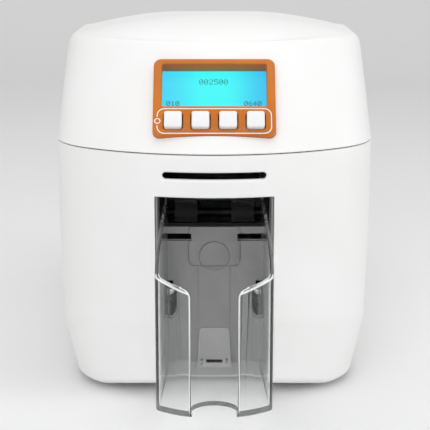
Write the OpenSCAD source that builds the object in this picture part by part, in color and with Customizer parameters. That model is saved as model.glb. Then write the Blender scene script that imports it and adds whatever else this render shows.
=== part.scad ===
// Desktop card printer with a hinged lid, a hand feed slot and a clear output hopper.
// X is to the right, Y runs to the back and Z is up. Millimetres.

/* [Casing] */
// Width of the casing
body_w = 200; // [180:1:260]
// Length of the casing without the hopper
body_l = 340; // [334:1:420]
// Height of the crown above the table
crown_z = 233.8; // [230:0.1:290]
// Height of the parting seam
seam_z = 158.5; // [157:0.5:162]
// Gap of the parting seam
seam_gap = 0.6; // [0.4:0.1:1]
// Wall of the moulded casings
wall = 2.6; // [2:0.1:3.5]
// Radius of the bowed nose in plan
nose_r = 132; // [125:1:180]
// Radius of the front corners in plan
corner_r = 53.7; // [45:0.1:60]
// Radius of the rear corners in plan
rear_r = 25; // [15:1:40]
// Lean of the lid front from upright, in degrees
lean = 36; // [30:1:40]
// Height of the crease at the nose
crease_z = 56; // [45:1:70]
// Fall of the crease towards the back, per mm
crease_fall = 0.246; // [0.1:0.01:0.4]
// Draw-in of the wall at the crease
crease_in = 1.9; // [1:0.1:4]
// Draw-in of the lower band at the bottom edge
band_in = 9.2; // [6:0.1:12]
// Radius of the bottom edge
edge_r = 4; // [2:0.5:6]
// Height of the feet
foot_h = 4; // [2:0.5:8]

/* [Lid] */
// Length of the lid
lid_l = 203; // [200:1:206]
// Height of the hinge axis
hinge_z = 212; // [208:1:216]
// Distance of the hinge axis in front of the lid's rear face
hinge_back = 3; // [2:0.5:4]
// Radius of the hinge pin
pin_r = 3; // [2:0.1:4]
// Height of the lid's side shoulder
shoulder_z = 216; // [212:1:220]

/* [Control panel] */
// Width of the bezel
bezel_w = 73.4; // [66:0.2:90]
// Height of the bezel along the slope
bezel_h = 51.9; // [48:0.1:60]
// Width of the display window
window_w = 63.3; // [50:0.1:66]
// Height of the display window
window_h = 28.8; // [20:0.1:30]
// Side of a button
button_s = 10.6; // [8:0.1:12]
// Spacing of the buttons
button_pitch = 16.4; // [13:0.1:18]
// How far the buttons stand out
button_out = 3.4; // [2:0.1:5]
// Travel of a button
button_travel = 1; // [0.5:0.1:1.5]

/* [Cards and slots] */
// Width of a card
card_w = 54; // [50:0.1:58]
// Length of a card
card_l = 85.6; // [80:0.1:90]
// Height of the card path
path_z = 145.8; // [144:0.1:147]
// Width of the hand feed slot
slot_w = 61.7; // [58:0.1:66]
// Height of the hand feed slot
slot_h = 4; // [2:0.1:5]
// Width of the recess at the front
recess_w = 71.4; // [68:0.1:76]
// Height of the recess top
recess_top = 132.7; // [128:0.1:134]
// Depth of the recess behind the nose
recess_d = 40; // [38:0.5:46]
// Upper edge of the recess panel
panel_top = 106; // [100:0.5:112]

/* [Output hopper] */
// Outer width of the hopper at its back
hopper_w = 62.2; // [60:0.1:66]
// Outer width of the hopper at its front
hopper_front_w = 67.4; // [62:0.1:72]
// How far the hopper reaches out of the nose
hopper_out = 51.5; // [40:0.5:70]
// Wall of the hopper
hopper_wall = 2.2; // [1.6:0.1:3]
// Underside of the hopper floor
hopper_z = 14.7; // [12:0.1:20]
// Thickness of the hopper floor
hopper_floor = 2.8; // [2:0.1:4]
// Height of the hopper walls at the recess
hopper_high = 125; // [110:0.5:128]
// Height of the hopper walls at the front
hopper_low = 100; // [80:0.5:105]
// Width of the front gap
gap_w = 27.4; // [20:0.1:34]
// Radius of the thumb notch
notch_r = 13.8; // [8:0.1:16]

/* [Mechanism] */
// Radius of the roller shafts
shaft_r = 3; // [2.5:0.1:4]
// Running clearance of shafts and pins
run = 0.05; // [0.03:0.01:0.1]
// Radius of the drive rollers
roller_r = 6; // [5:0.1:6.5]
// Radius of the platen roller
platen_r = 8; // [7:0.1:9]
// Half distance between the chassis plates
bay = 45; // [43:0.5:50]
// Thickness of the chassis plates
plate_t = 1.5; // [1:0.1:2.5]
// Radius of the belt pulleys
pulley_r = 7; // [6:0.1:8]
// Thickness of the belt
belt_t = 1.2; // [0.8:0.1:1.6]
// Gap between pieces that don't touch
gap = 0.4; // [0.3:0.05:0.6]
// Radius of the unused film roll
supply_r = 16; // [11:0.5:18]
// Radius of the used film roll
used_r = 12; // [9:0.5:14]
// Module of the film drive gears
gear_m = 1; // [0.8:0.1:1.2]
// Teeth of the take-up gear
gear_teeth = 36; // [30:1:40]
// Teeth of the film motor pinion
pinion_teeth = 12; // [12:1:16]

/* [Hidden] */
$fn = 48;

// The nose is at this Y, so that the origin lies under the middle of the whole box. The
// hopper's notch takes away the middle of its bow, so it reaches a little less far.
bow_r = 51;
hopper_reach = sqrt(bow_r * bow_r - pow(gap_w / 2 - 1, 2)) - bow_r + hopper_out;
nose_y = (hopper_reach - body_l) / 2;

// Centre of the front corner arc and the angle where it meets the nose arc
corner_x = body_w / 2 - corner_r;
corner_d = nose_r - sqrt(pow(nose_r - corner_r, 2) - pow(corner_x, 2));
join_a = atan2(corner_x, nose_r - corner_d);

function nose_at(x) = abs(x) < nose_r * sin(join_a)
    ? nose_r - sqrt(nose_r * nose_r - x * x)
    : corner_d - sqrt(corner_r * corner_r - pow(abs(x) - corner_x, 2));

// Half outline from the front centre to the rear, drawn in by i, its nose pushed back by s
NOSE_N = 7;
CORNER_N = 6;
REAR_N = 4;
SIDE_N = 3;
function half(i, s, l, rr) = concat(
    [for (k = [0:NOSE_N - 1]) let (a = join_a * (k + 0.5) / NOSE_N)
        [(nose_r - i) * sin(a), nose_r - (nose_r - i) * cos(a) + s]],
    [for (k = [0:CORNER_N]) let (a = join_a + (90 - join_a) * k / CORNER_N)
        [corner_x + (corner_r - i) * sin(a), corner_d - (corner_r - i) * cos(a) + s]],
    [for (k = [1:SIDE_N]) let (t = k / (SIDE_N + 1))
        [body_w / 2 - i, (corner_d + s) * (1 - t) + (l - rr) * t]],
    [for (k = [0:REAR_N]) let (a = 90 * k / REAR_N, q = max(rr - i, 0.5))
        [body_w / 2 - i - q + q * cos(a), l - i - q + q * sin(a)]]);
function mirrored(h) = [for (k = [len(h) - 1:-1:0]) [-h[k][0], h[k][1]]];
function outline(i, s, l, rr) = concat(mirrored(half(i, s, l, rr)), half(i, s, l, rr));

// Skin through a stack of rings, each a list of points, closed at both ends by level strips
module loft(rings) {
    n = len(rings[0]);
    m = len(rings);
    pts = [for (r = rings) each r];
    sides = [for (k = [0:m - 2], j = [0:n - 1]) let (a = k * n + j, b = k * n + (j + 1) % n)
        each [[a, a + n, b + n], [a, b + n, b]]];
    low = [for (j = [0:n / 2 - 2]) each [[j, j + 1, n - 2 - j], [j, n - 2 - j, n - 1 - j]]];
    top = [for (f = low) [f[2] + (m - 1) * n, f[1] + (m - 1) * n, f[0] + (m - 1) * n]];
    polyhedron(points = pts, faces = concat(sides, low, top), convexity = 8);
}

// Underside of the casing, which rises towards the nose
undercut_d = 35;
undercut_a = 21.5;
function under(d) = foot_h + max(0, (undercut_d - d) * tan(undercut_a));
function crease(d) = max(crease_z - crease_fall * d, under(d) + 14);
function flat_ring(i, z) = [for (p = outline(i, 0, body_l, rear_r)) [p[0], p[1], z]];
function low_ring(i, up) = [for (p = outline(i, 0, body_l, rear_r)) [p[0], p[1], under(p[1]) + up]];
function crease_ring(i) = [for (p = outline(i, 0, body_l, rear_r)) [p[0], p[1], crease(p[1])]];

base_top = seam_z - seam_gap / 2;
upright_z = 110;
module base_solid(t, low, top_z) {
    loft([low_ring(band_in + edge_r + t, low), low_ring(band_in + edge_r / 3 + t, low + edge_r / 3),
        low_ring(band_in + t, low + edge_r), crease_ring(crease_in + t),
        flat_ring(t, upright_z), flat_ring(t, top_z)]);
}

// Crown of the lid, arched across and along
arch_r = 350;
function crown(x, d) = crown_z - x * x / (2 * arch_r)
    - (d < 100 ? 0.0058 * pow(100 - d, 2) : d > 150 ? 0.0019 * pow(d - 150, 2) : 0);
lid_low = seam_z + seam_gap / 2;
function lean_at(z) = (z - seam_z) * tan(lean);
function lid_ring(i, t, z) = [for (p = outline(i + t, lean_at(z) - i, lid_l, 8)) [p[0], p[1], z]];
roof_in = 10;
roof_d = 125;
function roof_ring(f, t) = [for (p = outline(roof_in + t, 40, lid_l, 16))
    let (x = p[0] * f, d = roof_d + (p[1] - roof_d) * f) [x, d, crown(x, d) - t]];
module lid_solid(t, low) {
    loft([lid_ring(0, t, low), lid_ring(2.2, t, panel_z), lid_ring(4.4, t, shoulder_z - t * 0.6),
        roof_ring(1, t), roof_ring(0.84, t), roof_ring(0.62, t), roof_ring(0.38, t),
        roof_ring(0.14, t)]);
}

module at_nose() {
    translate([0, nose_y, 0]) children();
}
// Box given by its limits along x, behind the nose and up
module span(x, d, z) {
    translate([x[0], d[0], z[0]]) cube([x[1] - x[0], d[1] - d[0], z[1] - z[0]]);
}
// Cylinder along X at a distance behind the nose and a height
module along_x(x, d, z, r) {
    translate([x[0], d, z]) rotate([0, 90, 0]) cylinder(h = x[1] - x[0], r = r);
}
// Outline in the side view, drawn as points behind the nose and up, thickened along X
module side_plate(x, points) {
    translate([x[0], 0, 0]) rotate([90, 0, 90]) linear_extrude(x[1] - x[0]) polygon(points);
}
// Frame on the leaning lid front: x across, y up the slope and z outwards
panel_z = 190;
module on_slope() {
    translate([0, lean_at(panel_z), panel_z]) rotate([90 - lean, 0, 0]) children();
}
// Plate with round corners, centred
module round_plate(w, h, r, z) {
    translate([0, 0, z[0]]) linear_extrude(z[1] - z[0]) union() {
        square([w - 2 * r, h], center = true);
        square([w, h - 2 * r], center = true);
        for (x = [-1, 1], y = [-1, 1])
            translate([x * (w / 2 - r), y * (h / 2 - r)]) circle(r = r);
    }
}

// Places of the rollers, as distance behind the nose and height
card_t = 0.5;
exit_d = recess_d + 11;
exit_z = panel_top + 7;
infeed_d = 60;
platen_d = 120;
cleaning_d = 170;
pick_d = well_front() + 14;
roller_z = path_z - roller_r;
platen_z = path_z - platen_r;
pinch_r = 5.5;
pinch_z = path_z + card_t + pinch_r;
exit_pinch_z = exit_z + roller_r + card_t + pinch_r;
motor_d = 150;
motor_z = 95;
function tower_d() = lid_l + 2;
function well_back() = body_l - 18;
function well_front() = well_back() - card_l - 1.4;

// Film spools and head, carried by the lid
spool_z = 172;
takeup_d = platen_d - 35;
supply_d = platen_d + 38;
spool_core_r = 8;
film_w = card_w + 6;

hinge_d = lid_l - hinge_back;
recess_top_in = recess_top - gap;
panel_t = 2.6;
tab_x = [hopper_w / 2 - hopper_wall, hopper_w / 2];
tab_z = [48, 69];
vent_x = 23.4;
vent_w = 17.8;
vent_z = [panel_top - 9.3, panel_top - 4.4];
pan_d = [corner_d - 18.4, body_l - 40];
pan_x = body_w / 2 - 26.4;
pan_t = 2.5;
post_x = pan_x - 4.5;
post_r = 3.4;
post_d = [pan_d[0] + 10, (pan_d[0] + pan_d[1]) / 2, pan_d[1] - 12];
deck_z = base_top - 8;
deck_t = 2;
latch_d = 96;
latch_len = 12;
latch_x = body_w / 2 - 22;
port_z = [20, 46];
port_x = 48;

module base_shell() {
    color("white") at_nose() difference() {
        base_solid(0, 0, base_top);
        difference() {
            base_solid(wall, 3, base_top + 1);
            span([-recess_w / 2 - wall, recess_w / 2 + wall], [-1, recess_d + panel_t + wall + 0.3],
                [0, recess_top + wall]);
        }
        span([-recess_w / 2, recess_w / 2], [-1, recess_d + panel_t + 0.3], [-1, recess_top]);
        span([-slot_w / 2, slot_w / 2], [recess_d, recess_d + 10], [panel_top, recess_top - wall]);
        span([-pan_x, pan_x], pan_d, [0, foot_h + 4]);
        hand_slot(0);
        span([-port_x, port_x], [body_l - crease_in - wall - 1, body_l + 1], port_z);
        for (k = [0:6])
            span([-body_w, body_w], [body_l - 100 + k * 8, body_l - 97 + k * 8], [60, 100]);
        for (s = [-1, 1]) {
            span([min(s * tab_x[0], s * tab_x[1]) - 0.6, max(s * tab_x[0], s * tab_x[1]) + 0.6],
                [recess_d, recess_d + 10], [tab_z[0] - 1, tab_z[1] + 1]);
            span([s * vent_x - vent_w / 2, s * vent_x + vent_w / 2],
                [recess_d, recess_d + 10], vent_z);
        }
    }
}
module hand_slot(more) {
    r = slot_h / 2 + more;
    x = slot_w / 2 - slot_h / 2;
    span([-x, x], [-1, 20], [path_z - r, path_z + r]);
    for (s = [-1, 1])
        translate([s * x, -1, path_z]) rotate([-90, 0, 0]) cylinder(h = 21, r = r);
}
module base_pan() {
    color("dimgray") at_nose() difference() {
        span([-pan_x + gap, pan_x - gap], [pan_d[0] + gap, pan_d[1] - gap],
            [foot_h, foot_h + pan_t]);
        for (s = [-1, 1], d = post_d)
            translate([s * post_x, d, 0]) cylinder(h = 20, r = 1.7);
    }
}
foot_r = 9;
foot_x = post_x - 15.5;
module rubber_feet() {
    color("black") at_nose()
        for (s = [-1, 1], d = [post_d[0], post_d[2]])
            translate([s * foot_x, d, 0]) cylinder(h = foot_h, r = foot_r);
}
screw_r = 1.5;
module pan_screws() {
    color("silver") at_nose()
        for (s = [-1, 1], d = post_d)
            translate([s * post_x, d, foot_h - 1.6]) {
                cylinder(h = 1.6, r = 3);
                cylinder(h = pan_t + 10, r = screw_r);
            }
}
pad_w = 32;
pad_z = 81;
badge_z = 87;
badge_r = 9.8;
foot_panel_z = 40;
cheek_t = 1;
module recess_panel() {
    front = recess_d;
    side = recess_w / 2 - gap;
    lip = nose_at(side) + 2.5;
    color("lightgray") at_nose() difference() {
        union() {
            span([-side, side], [front, front + panel_t], [6, panel_top]);
            for (s = [0, 1]) mirror([s, 0, 0])
                side_plate([side - cheek_t, side], [[front, 20], [lip + band_in, 20],
                    [lip + crease_in, crease(lip)], [lip, upright_z], [lip, recess_top_in],
                    [front, recess_top_in]]);
            span([-pad_w / 2, pad_w / 2], [front - 1, front], [pad_z, panel_top]);
            translate([0, front, 0]) rotate([90, 0, 0]) linear_extrude(1)
                polygon([[-11.2, 17], [11.2, 17], [9.5, foot_panel_z - 2], [8, foot_panel_z],
                    [-8, foot_panel_z], [-9.5, foot_panel_z - 2]]);
        }
        for (s = [-1, 1]) {
            span([s * vent_x - vent_w / 2, s * vent_x + vent_w / 2], [front - 1, front + 4], vent_z);
            span([s * 29 - 2.9, s * 29 + 2.9], [front - 1, front + 4], [46, 71]);
            for (z = [19.2, 23]) translate([s * 8.4, front - 2, z]) rotate([-90, 0, 0])
                cylinder(h = 6, r = 0.75);
        }
        span([-5, 5], [front - 2, front + 0.8], [19.4, 22.8]);
        translate([0, front - 2, badge_z]) rotate([-90, 0, 0]) difference() {
            cylinder(h = 1.5, r = badge_r);
            cylinder(h = 4, r = badge_r - 0.6, center = true);
        }
    }
}
module exit_throat() {
    w = recess_w / 2 - gap;
    color("black") at_nose() difference() {
        span([-w, w], [recess_d + 0.1, recess_d + panel_t], [panel_top + gap, recess_top_in]);
        span([-slot_w / 2, slot_w / 2], [recess_d - 1, recess_d + 20],
            [panel_top + 2.4, recess_top - wall - 0.6]);
    }
}

// Plan outline of the hopper: a bowed front, two corner arcs and straight sides
hopper_c = 5;
hopper_end = recess_d - 2;
function bow_centre() = bow_r - hopper_out;
function hopper_half(i, end) =
    let (w = hopper_front_w / 2, cx = w - hopper_c,
        cd = bow_centre() - sqrt(pow(bow_r - hopper_c, 2) - cx * cx),
        a = atan2(cx, bow_centre() - cd))
    concat([for (k = [0:6]) let (t = a * (k + 0.5) / 7)
            [(bow_r - i) * sin(t), bow_centre() - (bow_r - i) * cos(t)]],
        [for (k = [0:8]) let (t = a + (90 - a) * k / 8)
            [cx + (hopper_c - i) * sin(t), cd - (hopper_c - i) * cos(t)]],
        [[hopper_w / 2 - i, end]]);
function hopper_plan(i, end) = concat(mirrored(hopper_half(i, end)), hopper_half(i, end));
module output_hopper() {
    high = hopper_high;
    low = hopper_low;
    color("lightcyan") at_nose() {
        difference() {
            translate([0, 0, hopper_z]) linear_extrude(high - hopper_z)
                polygon(hopper_plan(0, hopper_end));
            translate([0, 0, hopper_z + hopper_floor]) linear_extrude(high)
                polygon(hopper_plan(hopper_wall, hopper_end + 1));
            side_plate([-hopper_front_w, hopper_front_w],
                [[hopper_end + 1, high + 1], [hopper_end + 1, high - 0.4],
                    [recess_d - 12, high - 1.4], [-hopper_out + 15.5, low + 3.8],
                    [-hopper_out + 10.5, low - 1], [-hopper_out + 8.5, low - 4.6],
                    [-hopper_out + 6, low - 7.1], [-hopper_out + 2.8, low - 10.4],
                    [-hopper_out - 2, low - 15.2], [-hopper_out - 2, high + 1]]);
            span([-gap_w / 2, gap_w / 2], [-hopper_out - 1, -hopper_out + 12],
                [hopper_z + hopper_floor, high]);
            translate([0, notch_r - 20 - 39.1, hopper_z - 1])
                cylinder(h = hopper_floor + 2, r = notch_r);
            span([-gap_w / 2 + 1, gap_w / 2 - 1], [-hopper_out - 1, notch_r - 20 - 39.1],
                [hopper_z - 1, hopper_z + hopper_floor + 1]);
        }
        for (s = [-1, 1])
            span([min(s * tab_x[0], s * tab_x[1]), max(s * tab_x[0], s * tab_x[1])],
                [hopper_end - 0.01, recess_d + 6], tab_z);
    }
}

deck_open_x = bay + plate_t + 12;
module top_deck() {
    color("dimgray") at_nose() difference() {
        translate([0, 0, deck_z]) linear_extrude(deck_t)
            polygon(outline(wall + gap, 0, body_l, rear_r));
        span([-deck_open_x, deck_open_x], [26, tower_d() + 26], [deck_z - 1, deck_z + 5]);
        span([-card_w / 2 - 6, card_w / 2 + 6], [tower_d(), body_l - 8],
            [deck_z - 1, deck_z + 5]);
    }
}
// Posts that carry the deck, and keeps on the deck. The noses of the latches stand beside
// the keeps, short of them by the gap
nose_out = 7;
nose_z = [deck_z + deck_t + 0.8, deck_z + deck_t + 3.8];
keep_t = 2.4;
module deck_fittings() {
    keep_x = latch_x + nose_out + gap;
    color("dimgray") at_nose() {
        for (s = [-1, 1], d = post_d)
            translate([s * post_x, d, foot_h + pan_t]) difference() {
                cylinder(h = deck_z - foot_h - pan_t, r = post_r);
                translate([0, 0, -1]) cylinder(h = 14, r = screw_r);
            }
        for (s = [0, 1]) mirror([s, 0, 0])
            span([keep_x, keep_x + keep_t], [latch_d - 1, latch_d + latch_len + 1],
                [deck_z + deck_t, nose_z[1] + 1]);
    }
}
bed_t = 2;
bed_z = path_z - card_t - bed_t;
bed_x = bay - 0.2;
ramp_d = [infeed_d - 1, platen_d - platen_r - 5];
ramp_z = exit_z + roller_r;
module card_bed() {
    color("black") at_nose() side_plate([-card_w / 2 - 2, card_w / 2 + 2],
        [[ramp_d[0], ramp_z], [ramp_d[1] + 4, bed_z], [ramp_d[1], bed_z], [ramp_d[0], ramp_z + 2]]);
    color("black") at_nose() difference() {
        span([-bed_x, bed_x], [24, body_l - 12], [bed_z, bed_z + bed_t]);
        span([-card_w / 2 - 2, card_w / 2 + 2], [infeed_d, ramp_d[1] - 1],
            [bed_z - 1, bed_z + bed_t + 1]);
        for (d = [infeed_d, cleaning_d, pick_d])
            span([-card_w / 2 - 2, card_w / 2 + 2], [d - roller_r - 2, d + roller_r + 2],
                [bed_z - 1, bed_z + bed_t + 1]);
        span([-film_w / 2 - 2, film_w / 2 + 2], [platen_d - platen_r - 2, platen_d + platen_r + 2],
            [bed_z - 1, bed_z + bed_t + 1]);
        for (d = [infeed_d, cleaning_d, pick_d])
            along_x([-bay, bay], d, roller_z, shaft_r + gap / 4);
    }
}
lug_r = 6.5;
lug_d = hinge_d - 8;
pinch_top = pinch_z + 6;
plate_step_z = 24;
module chassis_plate(x) {
    difference() {
        union() {
            side_plate(x, [[pan_d[0] + 1, foot_h + pan_t], [pan_d[1] - 1, foot_h + pan_t],
                [pan_d[1] - 1, plate_step_z], [well_back(), plate_step_z], [well_back(), path_z - 20],
                [pick_d + 13, path_z + 2], [tower_d() + 25, path_z + 2],
                [tower_d() + 20, path_z + 8], [tower_d() - gap, path_z + 8],
                [tower_d() - gap, hinge_z - 4], [lug_d, hinge_z - 4], [lug_d - 8, pinch_top],
                [cleaning_d - 9, pinch_top], [cleaning_d - 9, path_z],
                [infeed_d + 9, path_z], [infeed_d + 9, pinch_top], [infeed_d - 9, pinch_top],
                [infeed_d - 9, path_z], [recess_d + 4, path_z], [recess_d + 4, plate_step_z],
                [pan_d[0] + 1, plate_step_z]]);
            along_x(x, hinge_d, hinge_z, lug_r);
        }
        along_x([x[0] - 1, x[1] + 1], hinge_d, hinge_z, pin_r);
        for (p = shaft_places())
            along_x([x[0] - 1, x[1] + 1], p[0], p[1], bush_r);
        along_x([x[0] - 1, x[1] + 1], motor_d, motor_z, 11.2);
        for (p = bar_places) along_x([x[0] - 1, x[1] + 1], p[0], p[1], 2);
    }
}
bush_r = shaft_r + 1.5;
pinch_shaft_r = 2;
function shaft_places() = [[exit_d, exit_z], [infeed_d, roller_z], [platen_d, platen_z],
    [cleaning_d, roller_z], [pick_d, roller_z], [exit_d, exit_pinch_z], [infeed_d, pinch_z],
    [cleaning_d, pinch_z]];
bar_places = [[recess_d + 14, 60], [recess_d + 14, 20], [body_l - 30, 100], [motor_d - 45, 40]];
module chassis_left() {
    color("silver") at_nose() chassis_plate([-bay - plate_t, -bay]);
}
module chassis_right() {
    color("silver") at_nose() chassis_plate([bay, bay + plate_t]);
}
module cross_bars() {
    color("gainsboro") at_nose()
        for (p = bar_places) {
            along_x([-bay - plate_t, bay + plate_t], p[0], p[1], 2);
            along_x([-bay, bay], p[0], p[1], 4);
        }
}
module shaft_bushes() {
    color("ivory") at_nose()
        for (s = [-1, 1], k = [0:7]) let (p = shaft_places()[k], r = k < 5 ? shaft_r : pinch_shaft_r)
            difference() {
                along_x(s < 0 ? [-bay - plate_t - 0.6, -bay] : [bay, bay + plate_t + 0.6],
                    p[0], p[1], bush_r);
                along_x([-body_w, body_w], p[0], p[1], r + run);
            }
}
shaft_in = bay + plate_t + 2;
pulley_x = [-bay - plate_t - 9, -bay - plate_t - 2];
module driven_shaft(d, z, r) {
    color("silver") at_nose() {
        along_x([pulley_x[0] - 1, shaft_in], d, z, shaft_r);
        along_x(pulley_x, d, z, r);
        along_x([pulley_x[0] - 0.8, pulley_x[0]], d, z, r + 1.6);
    }
}
module sleeve(d, z, r, w, inner) {
    at_nose() difference() {
        along_x([-w / 2, w / 2], d, z, r);
        along_x([-w, w], d, z, inner);
    }
}
platen_pulley = roller_z + pulley_r - platen_z;
module exit_shaft() {
    driven_shaft(exit_d, exit_z, pulley_r);
}
module exit_rubber() {
    color("dimgray") for (s = [-1, 1])
        translate([s * 18, 0, 0]) sleeve(exit_d, exit_z, roller_r, 14, shaft_r);
}
module infeed_shaft() {
    driven_shaft(infeed_d, roller_z, pulley_r);
}
module infeed_rubber() {
    color("dimgray") sleeve(infeed_d, roller_z, roller_r, card_w, shaft_r);
}
module platen_shaft() {
    driven_shaft(platen_d, platen_z, platen_pulley);
}
module platen_rubber() {
    color("dimgray") sleeve(platen_d, platen_z, platen_r, card_w + 4, shaft_r);
}
module cleaning_shaft() {
    driven_shaft(cleaning_d, roller_z, pulley_r);
}
module cleaning_sleeve() {
    color("steelblue") sleeve(cleaning_d, roller_z, roller_r, card_w, shaft_r);
}
module pick_shaft() {
    driven_shaft(pick_d, roller_z, pulley_r);
}
module pick_rubber() {
    color("dimgray") sleeve(pick_d, roller_z, roller_r, 30, shaft_r);
}
module pinch(d, z) {
    color("gray") at_nose() {
        along_x([-bay - plate_t - 2, bay + plate_t + 2], d, z, pinch_shaft_r);
        for (s = [-1, 1]) along_x([s * 18 - 7, s * 18 + 7], d, z, pinch_r);
    }
}
module exit_pinch() {
    pinch(exit_d, exit_pinch_z);
}
module infeed_pinch() {
    pinch(infeed_d, pinch_z);
}
module cleaning_pinch() {
    pinch(cleaning_d, pinch_z);
}
motor_s = 42;
module drive_motor() {
    color("black") at_nose() {
        span([-bay, -bay + 34], [motor_d - motor_s / 2, motor_d + motor_s / 2],
            [motor_z - motor_s / 2, motor_z + motor_s / 2]);
        difference() {
            along_x([-bay - plate_t - 1, -bay], motor_d, motor_z, 11);
            along_x([-body_w, -bay - 1], motor_d, motor_z, shaft_r + run);
        }
    }
}
module motor_pulley() {
    color("silver") at_nose() {
        along_x([pulley_x[0] - 1, -bay - 1.5], motor_d, motor_z, shaft_r - 0.5);
        along_x(pulley_x, motor_d, motor_z, pulley_r);
        along_x([pulley_x[0] - 0.8, pulley_x[0]], motor_d, motor_z, pulley_r + 1.6);
    }
}

// Belt: the outer outline round the pulleys, in the order in which it passes them
belt_stops = [[motor_d, motor_z], [pick_d, roller_z], [infeed_d, roller_z], [exit_d, exit_z]];
belt_gap = 0.15;
belt_arc = 8;
function heading(k) = let (n = len(belt_stops), p = belt_stops[k % n], q = belt_stops[(k + 1) % n])
    atan2(q[1] - p[1], q[0] - p[0]);
function turn(k) = let (t = heading(k + 1) - heading(k)) t < 0 ? t + 360 : t;
function belt_points(r) = [for (k = [0:len(belt_stops) - 1], j = [0:belt_arc])
    let (p = belt_stops[(k + 1) % len(belt_stops)], a = heading(k) - 90 + turn(k) * j / belt_arc)
    [p[0] + r * cos(a), p[1] + r * sin(a)]];
module timing_belt() {
    color("black") at_nose() translate([pulley_x[0] + 0.4, 0, 0]) rotate([90, 0, 90])
        linear_extrude(pulley_x[1] - pulley_x[0] - 0.8) difference() {
            polygon(belt_points(pulley_r + belt_gap + belt_t));
            polygon(belt_points(pulley_r + belt_gap));
        }
}
board_z = 19;
board_d = [body_l - 160, body_l - 14];
board_top = board_z + 1.6;
port_low = board_top + 0.6;
inlet_x = -28;
inlet_z = port_low + 6;
panel_d = [body_l - crease_in - wall - 2.7, body_l - crease_in - wall - 0.7];
module main_board() {
    color("green") at_nose() {
        span([-40, 40], board_d, [board_z, board_top]);
        for (s = [-1, 1], d = [board_d[0] + 8, pan_d[1] - 8])
            translate([s * 35, d, foot_h + pan_t]) cylinder(h = board_z - foot_h - pan_t, r = 3);
    }
}
module board_parts() {
    z = board_top;
    color("black") at_nose() {
        span([-12, 12], [body_l - 110, body_l - 86], [z, z + 2]);
        span([-32, -18], [body_l - 100, body_l - 88], [z, z + 1.6]);
        for (k = [0:2]) translate([28, body_l - 120 + k * 14, z]) cylinder(h = 14, r = 5);
        for (k = [0:3]) span([-34 + k * 14, -24 + k * 14], [body_l - 150, body_l - 144], [z, z + 7]);
    }
}
module rear_panel() {
    color("silver") at_nose() difference() {
        span([-port_x - 4, port_x + 4], panel_d, [board_z + 2, port_z[1] + 4]);
        translate([inlet_x, panel_d[0] - 1, inlet_z]) rotate([-90, 0, 0]) cylinder(h = 5, r = 5);
        span([-6.2, 6.2], [panel_d[0] - 1, panel_d[1] + 1], [port_low - 0.2, port_low + 11.2]);
        span([18.4, 34.6], [panel_d[0] - 1, panel_d[1] + 1], [port_low - 0.2, port_low + 13.6]);
    }
}
module dc_inlet() {
    color("black") at_nose() {
        difference() {
            translate([inlet_x, panel_d[1] - 10, inlet_z]) rotate([-90, 0, 0]) cylinder(h = 13, r = 4.8);
            translate([inlet_x, panel_d[1] - 7, inlet_z]) rotate([-90, 0, 0]) cylinder(h = 13, r = 3.2);
        }
        translate([inlet_x, panel_d[1] - 7.5, inlet_z]) rotate([-90, 0, 0]) cylinder(h = 9, r = 1);
        span([inlet_x - 4, inlet_x + 4], [panel_d[1] - 10, panel_d[0] - gap], [board_top, inlet_z - 4]);
    }
}
module usb_port() {
    color("silver") at_nose() difference() {
        span([-6, 6], [panel_d[1] - 13, panel_d[1] + 2.5], [port_low, port_low + 11]);
        span([-4.8, 4.8], [panel_d[1] - 7, body_l], [port_low + 1.4, port_low + 9.6]);
    }
}
module ethernet_port() {
    color("silver") at_nose() difference() {
        span([18.6, 34.4], [panel_d[1] - 17, panel_d[1] + 2.5], [port_low, port_low + 13.4]);
        span([20.6, 32.4], [panel_d[1] - 10, body_l], [port_low + 2, port_low + 9]);
        span([23, 30], [panel_d[1] - 10, body_l], [port_low + 8, port_low + 11.5]);
    }
}

// Card feeder behind the lid
tower_top = 205;
well_x = card_w / 2 + 0.8;
well_z = path_z + 2.4;
feeder_pin_d = body_l - 13;
feeder_pin_z = tower_top + 4;
feeder_pin_r = 1.5;
knuckle_r = 3.2;
lug_x = [22, 28];
module tower_solid(t, low) {
    loft([flat_ring(t, low), flat_ring(t, tower_top - 8), flat_ring(t + 2.4, tower_top - 2.6 - t * 0.6),
        flat_ring(t + 8, tower_top - t)]);
}
module feeder_housing() {
    color("white") at_nose() difference() {
        union() {
            difference() {
                tower_solid(0, lid_low);
                difference() {
                    tower_solid(wall, lid_low - 1);
                    span([-body_w, body_w], [-1, tower_d() + wall], [0, crown_z]);
                }
                span([-body_w, body_w], [-1, tower_d()], [0, crown_z]);
            }
            span([-well_x - 2.4, well_x + 2.4], [well_front() - 2.4, well_back() + 2.4],
                [well_z, tower_top - 0.5]);
            for (s = [-1, 1]) {
                x = s < 0 ? [-lug_x[1], -lug_x[0]] : lug_x;
                span(x, [feeder_pin_d - knuckle_r, feeder_pin_d + knuckle_r],
                    [tower_top - 1, feeder_pin_z]);
                along_x(x, feeder_pin_d, feeder_pin_z, knuckle_r);
            }
        }
        span([-well_x, well_x], [well_front(), well_back()], [well_z - 1, tower_top + 1]);
        along_x([-lug_x[1] - 1, lug_x[1] + 1], feeder_pin_d, feeder_pin_z, feeder_pin_r);
    }
}
module feeder_cover() {
    x = lug_x[0] - gap;
    color("gainsboro") at_nose() difference() {
        union() {
            span([-38, 38], [well_front() - 8, feeder_pin_d - knuckle_r - gap],
                [tower_top + gap, tower_top + gap + 2.6]);
            span([-x, x], [feeder_pin_d - knuckle_r - 1, feeder_pin_d],
                [tower_top + gap + 0.6, tower_top + gap + 2.6]);
            along_x([-x, x], feeder_pin_d, feeder_pin_z, knuckle_r);
        }
        along_x([-body_w, body_w], feeder_pin_d, feeder_pin_z, feeder_pin_r + run);
        translate([0, well_front() - 8, tower_top]) cylinder(h = 6, r = 7);
    }
}
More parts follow.
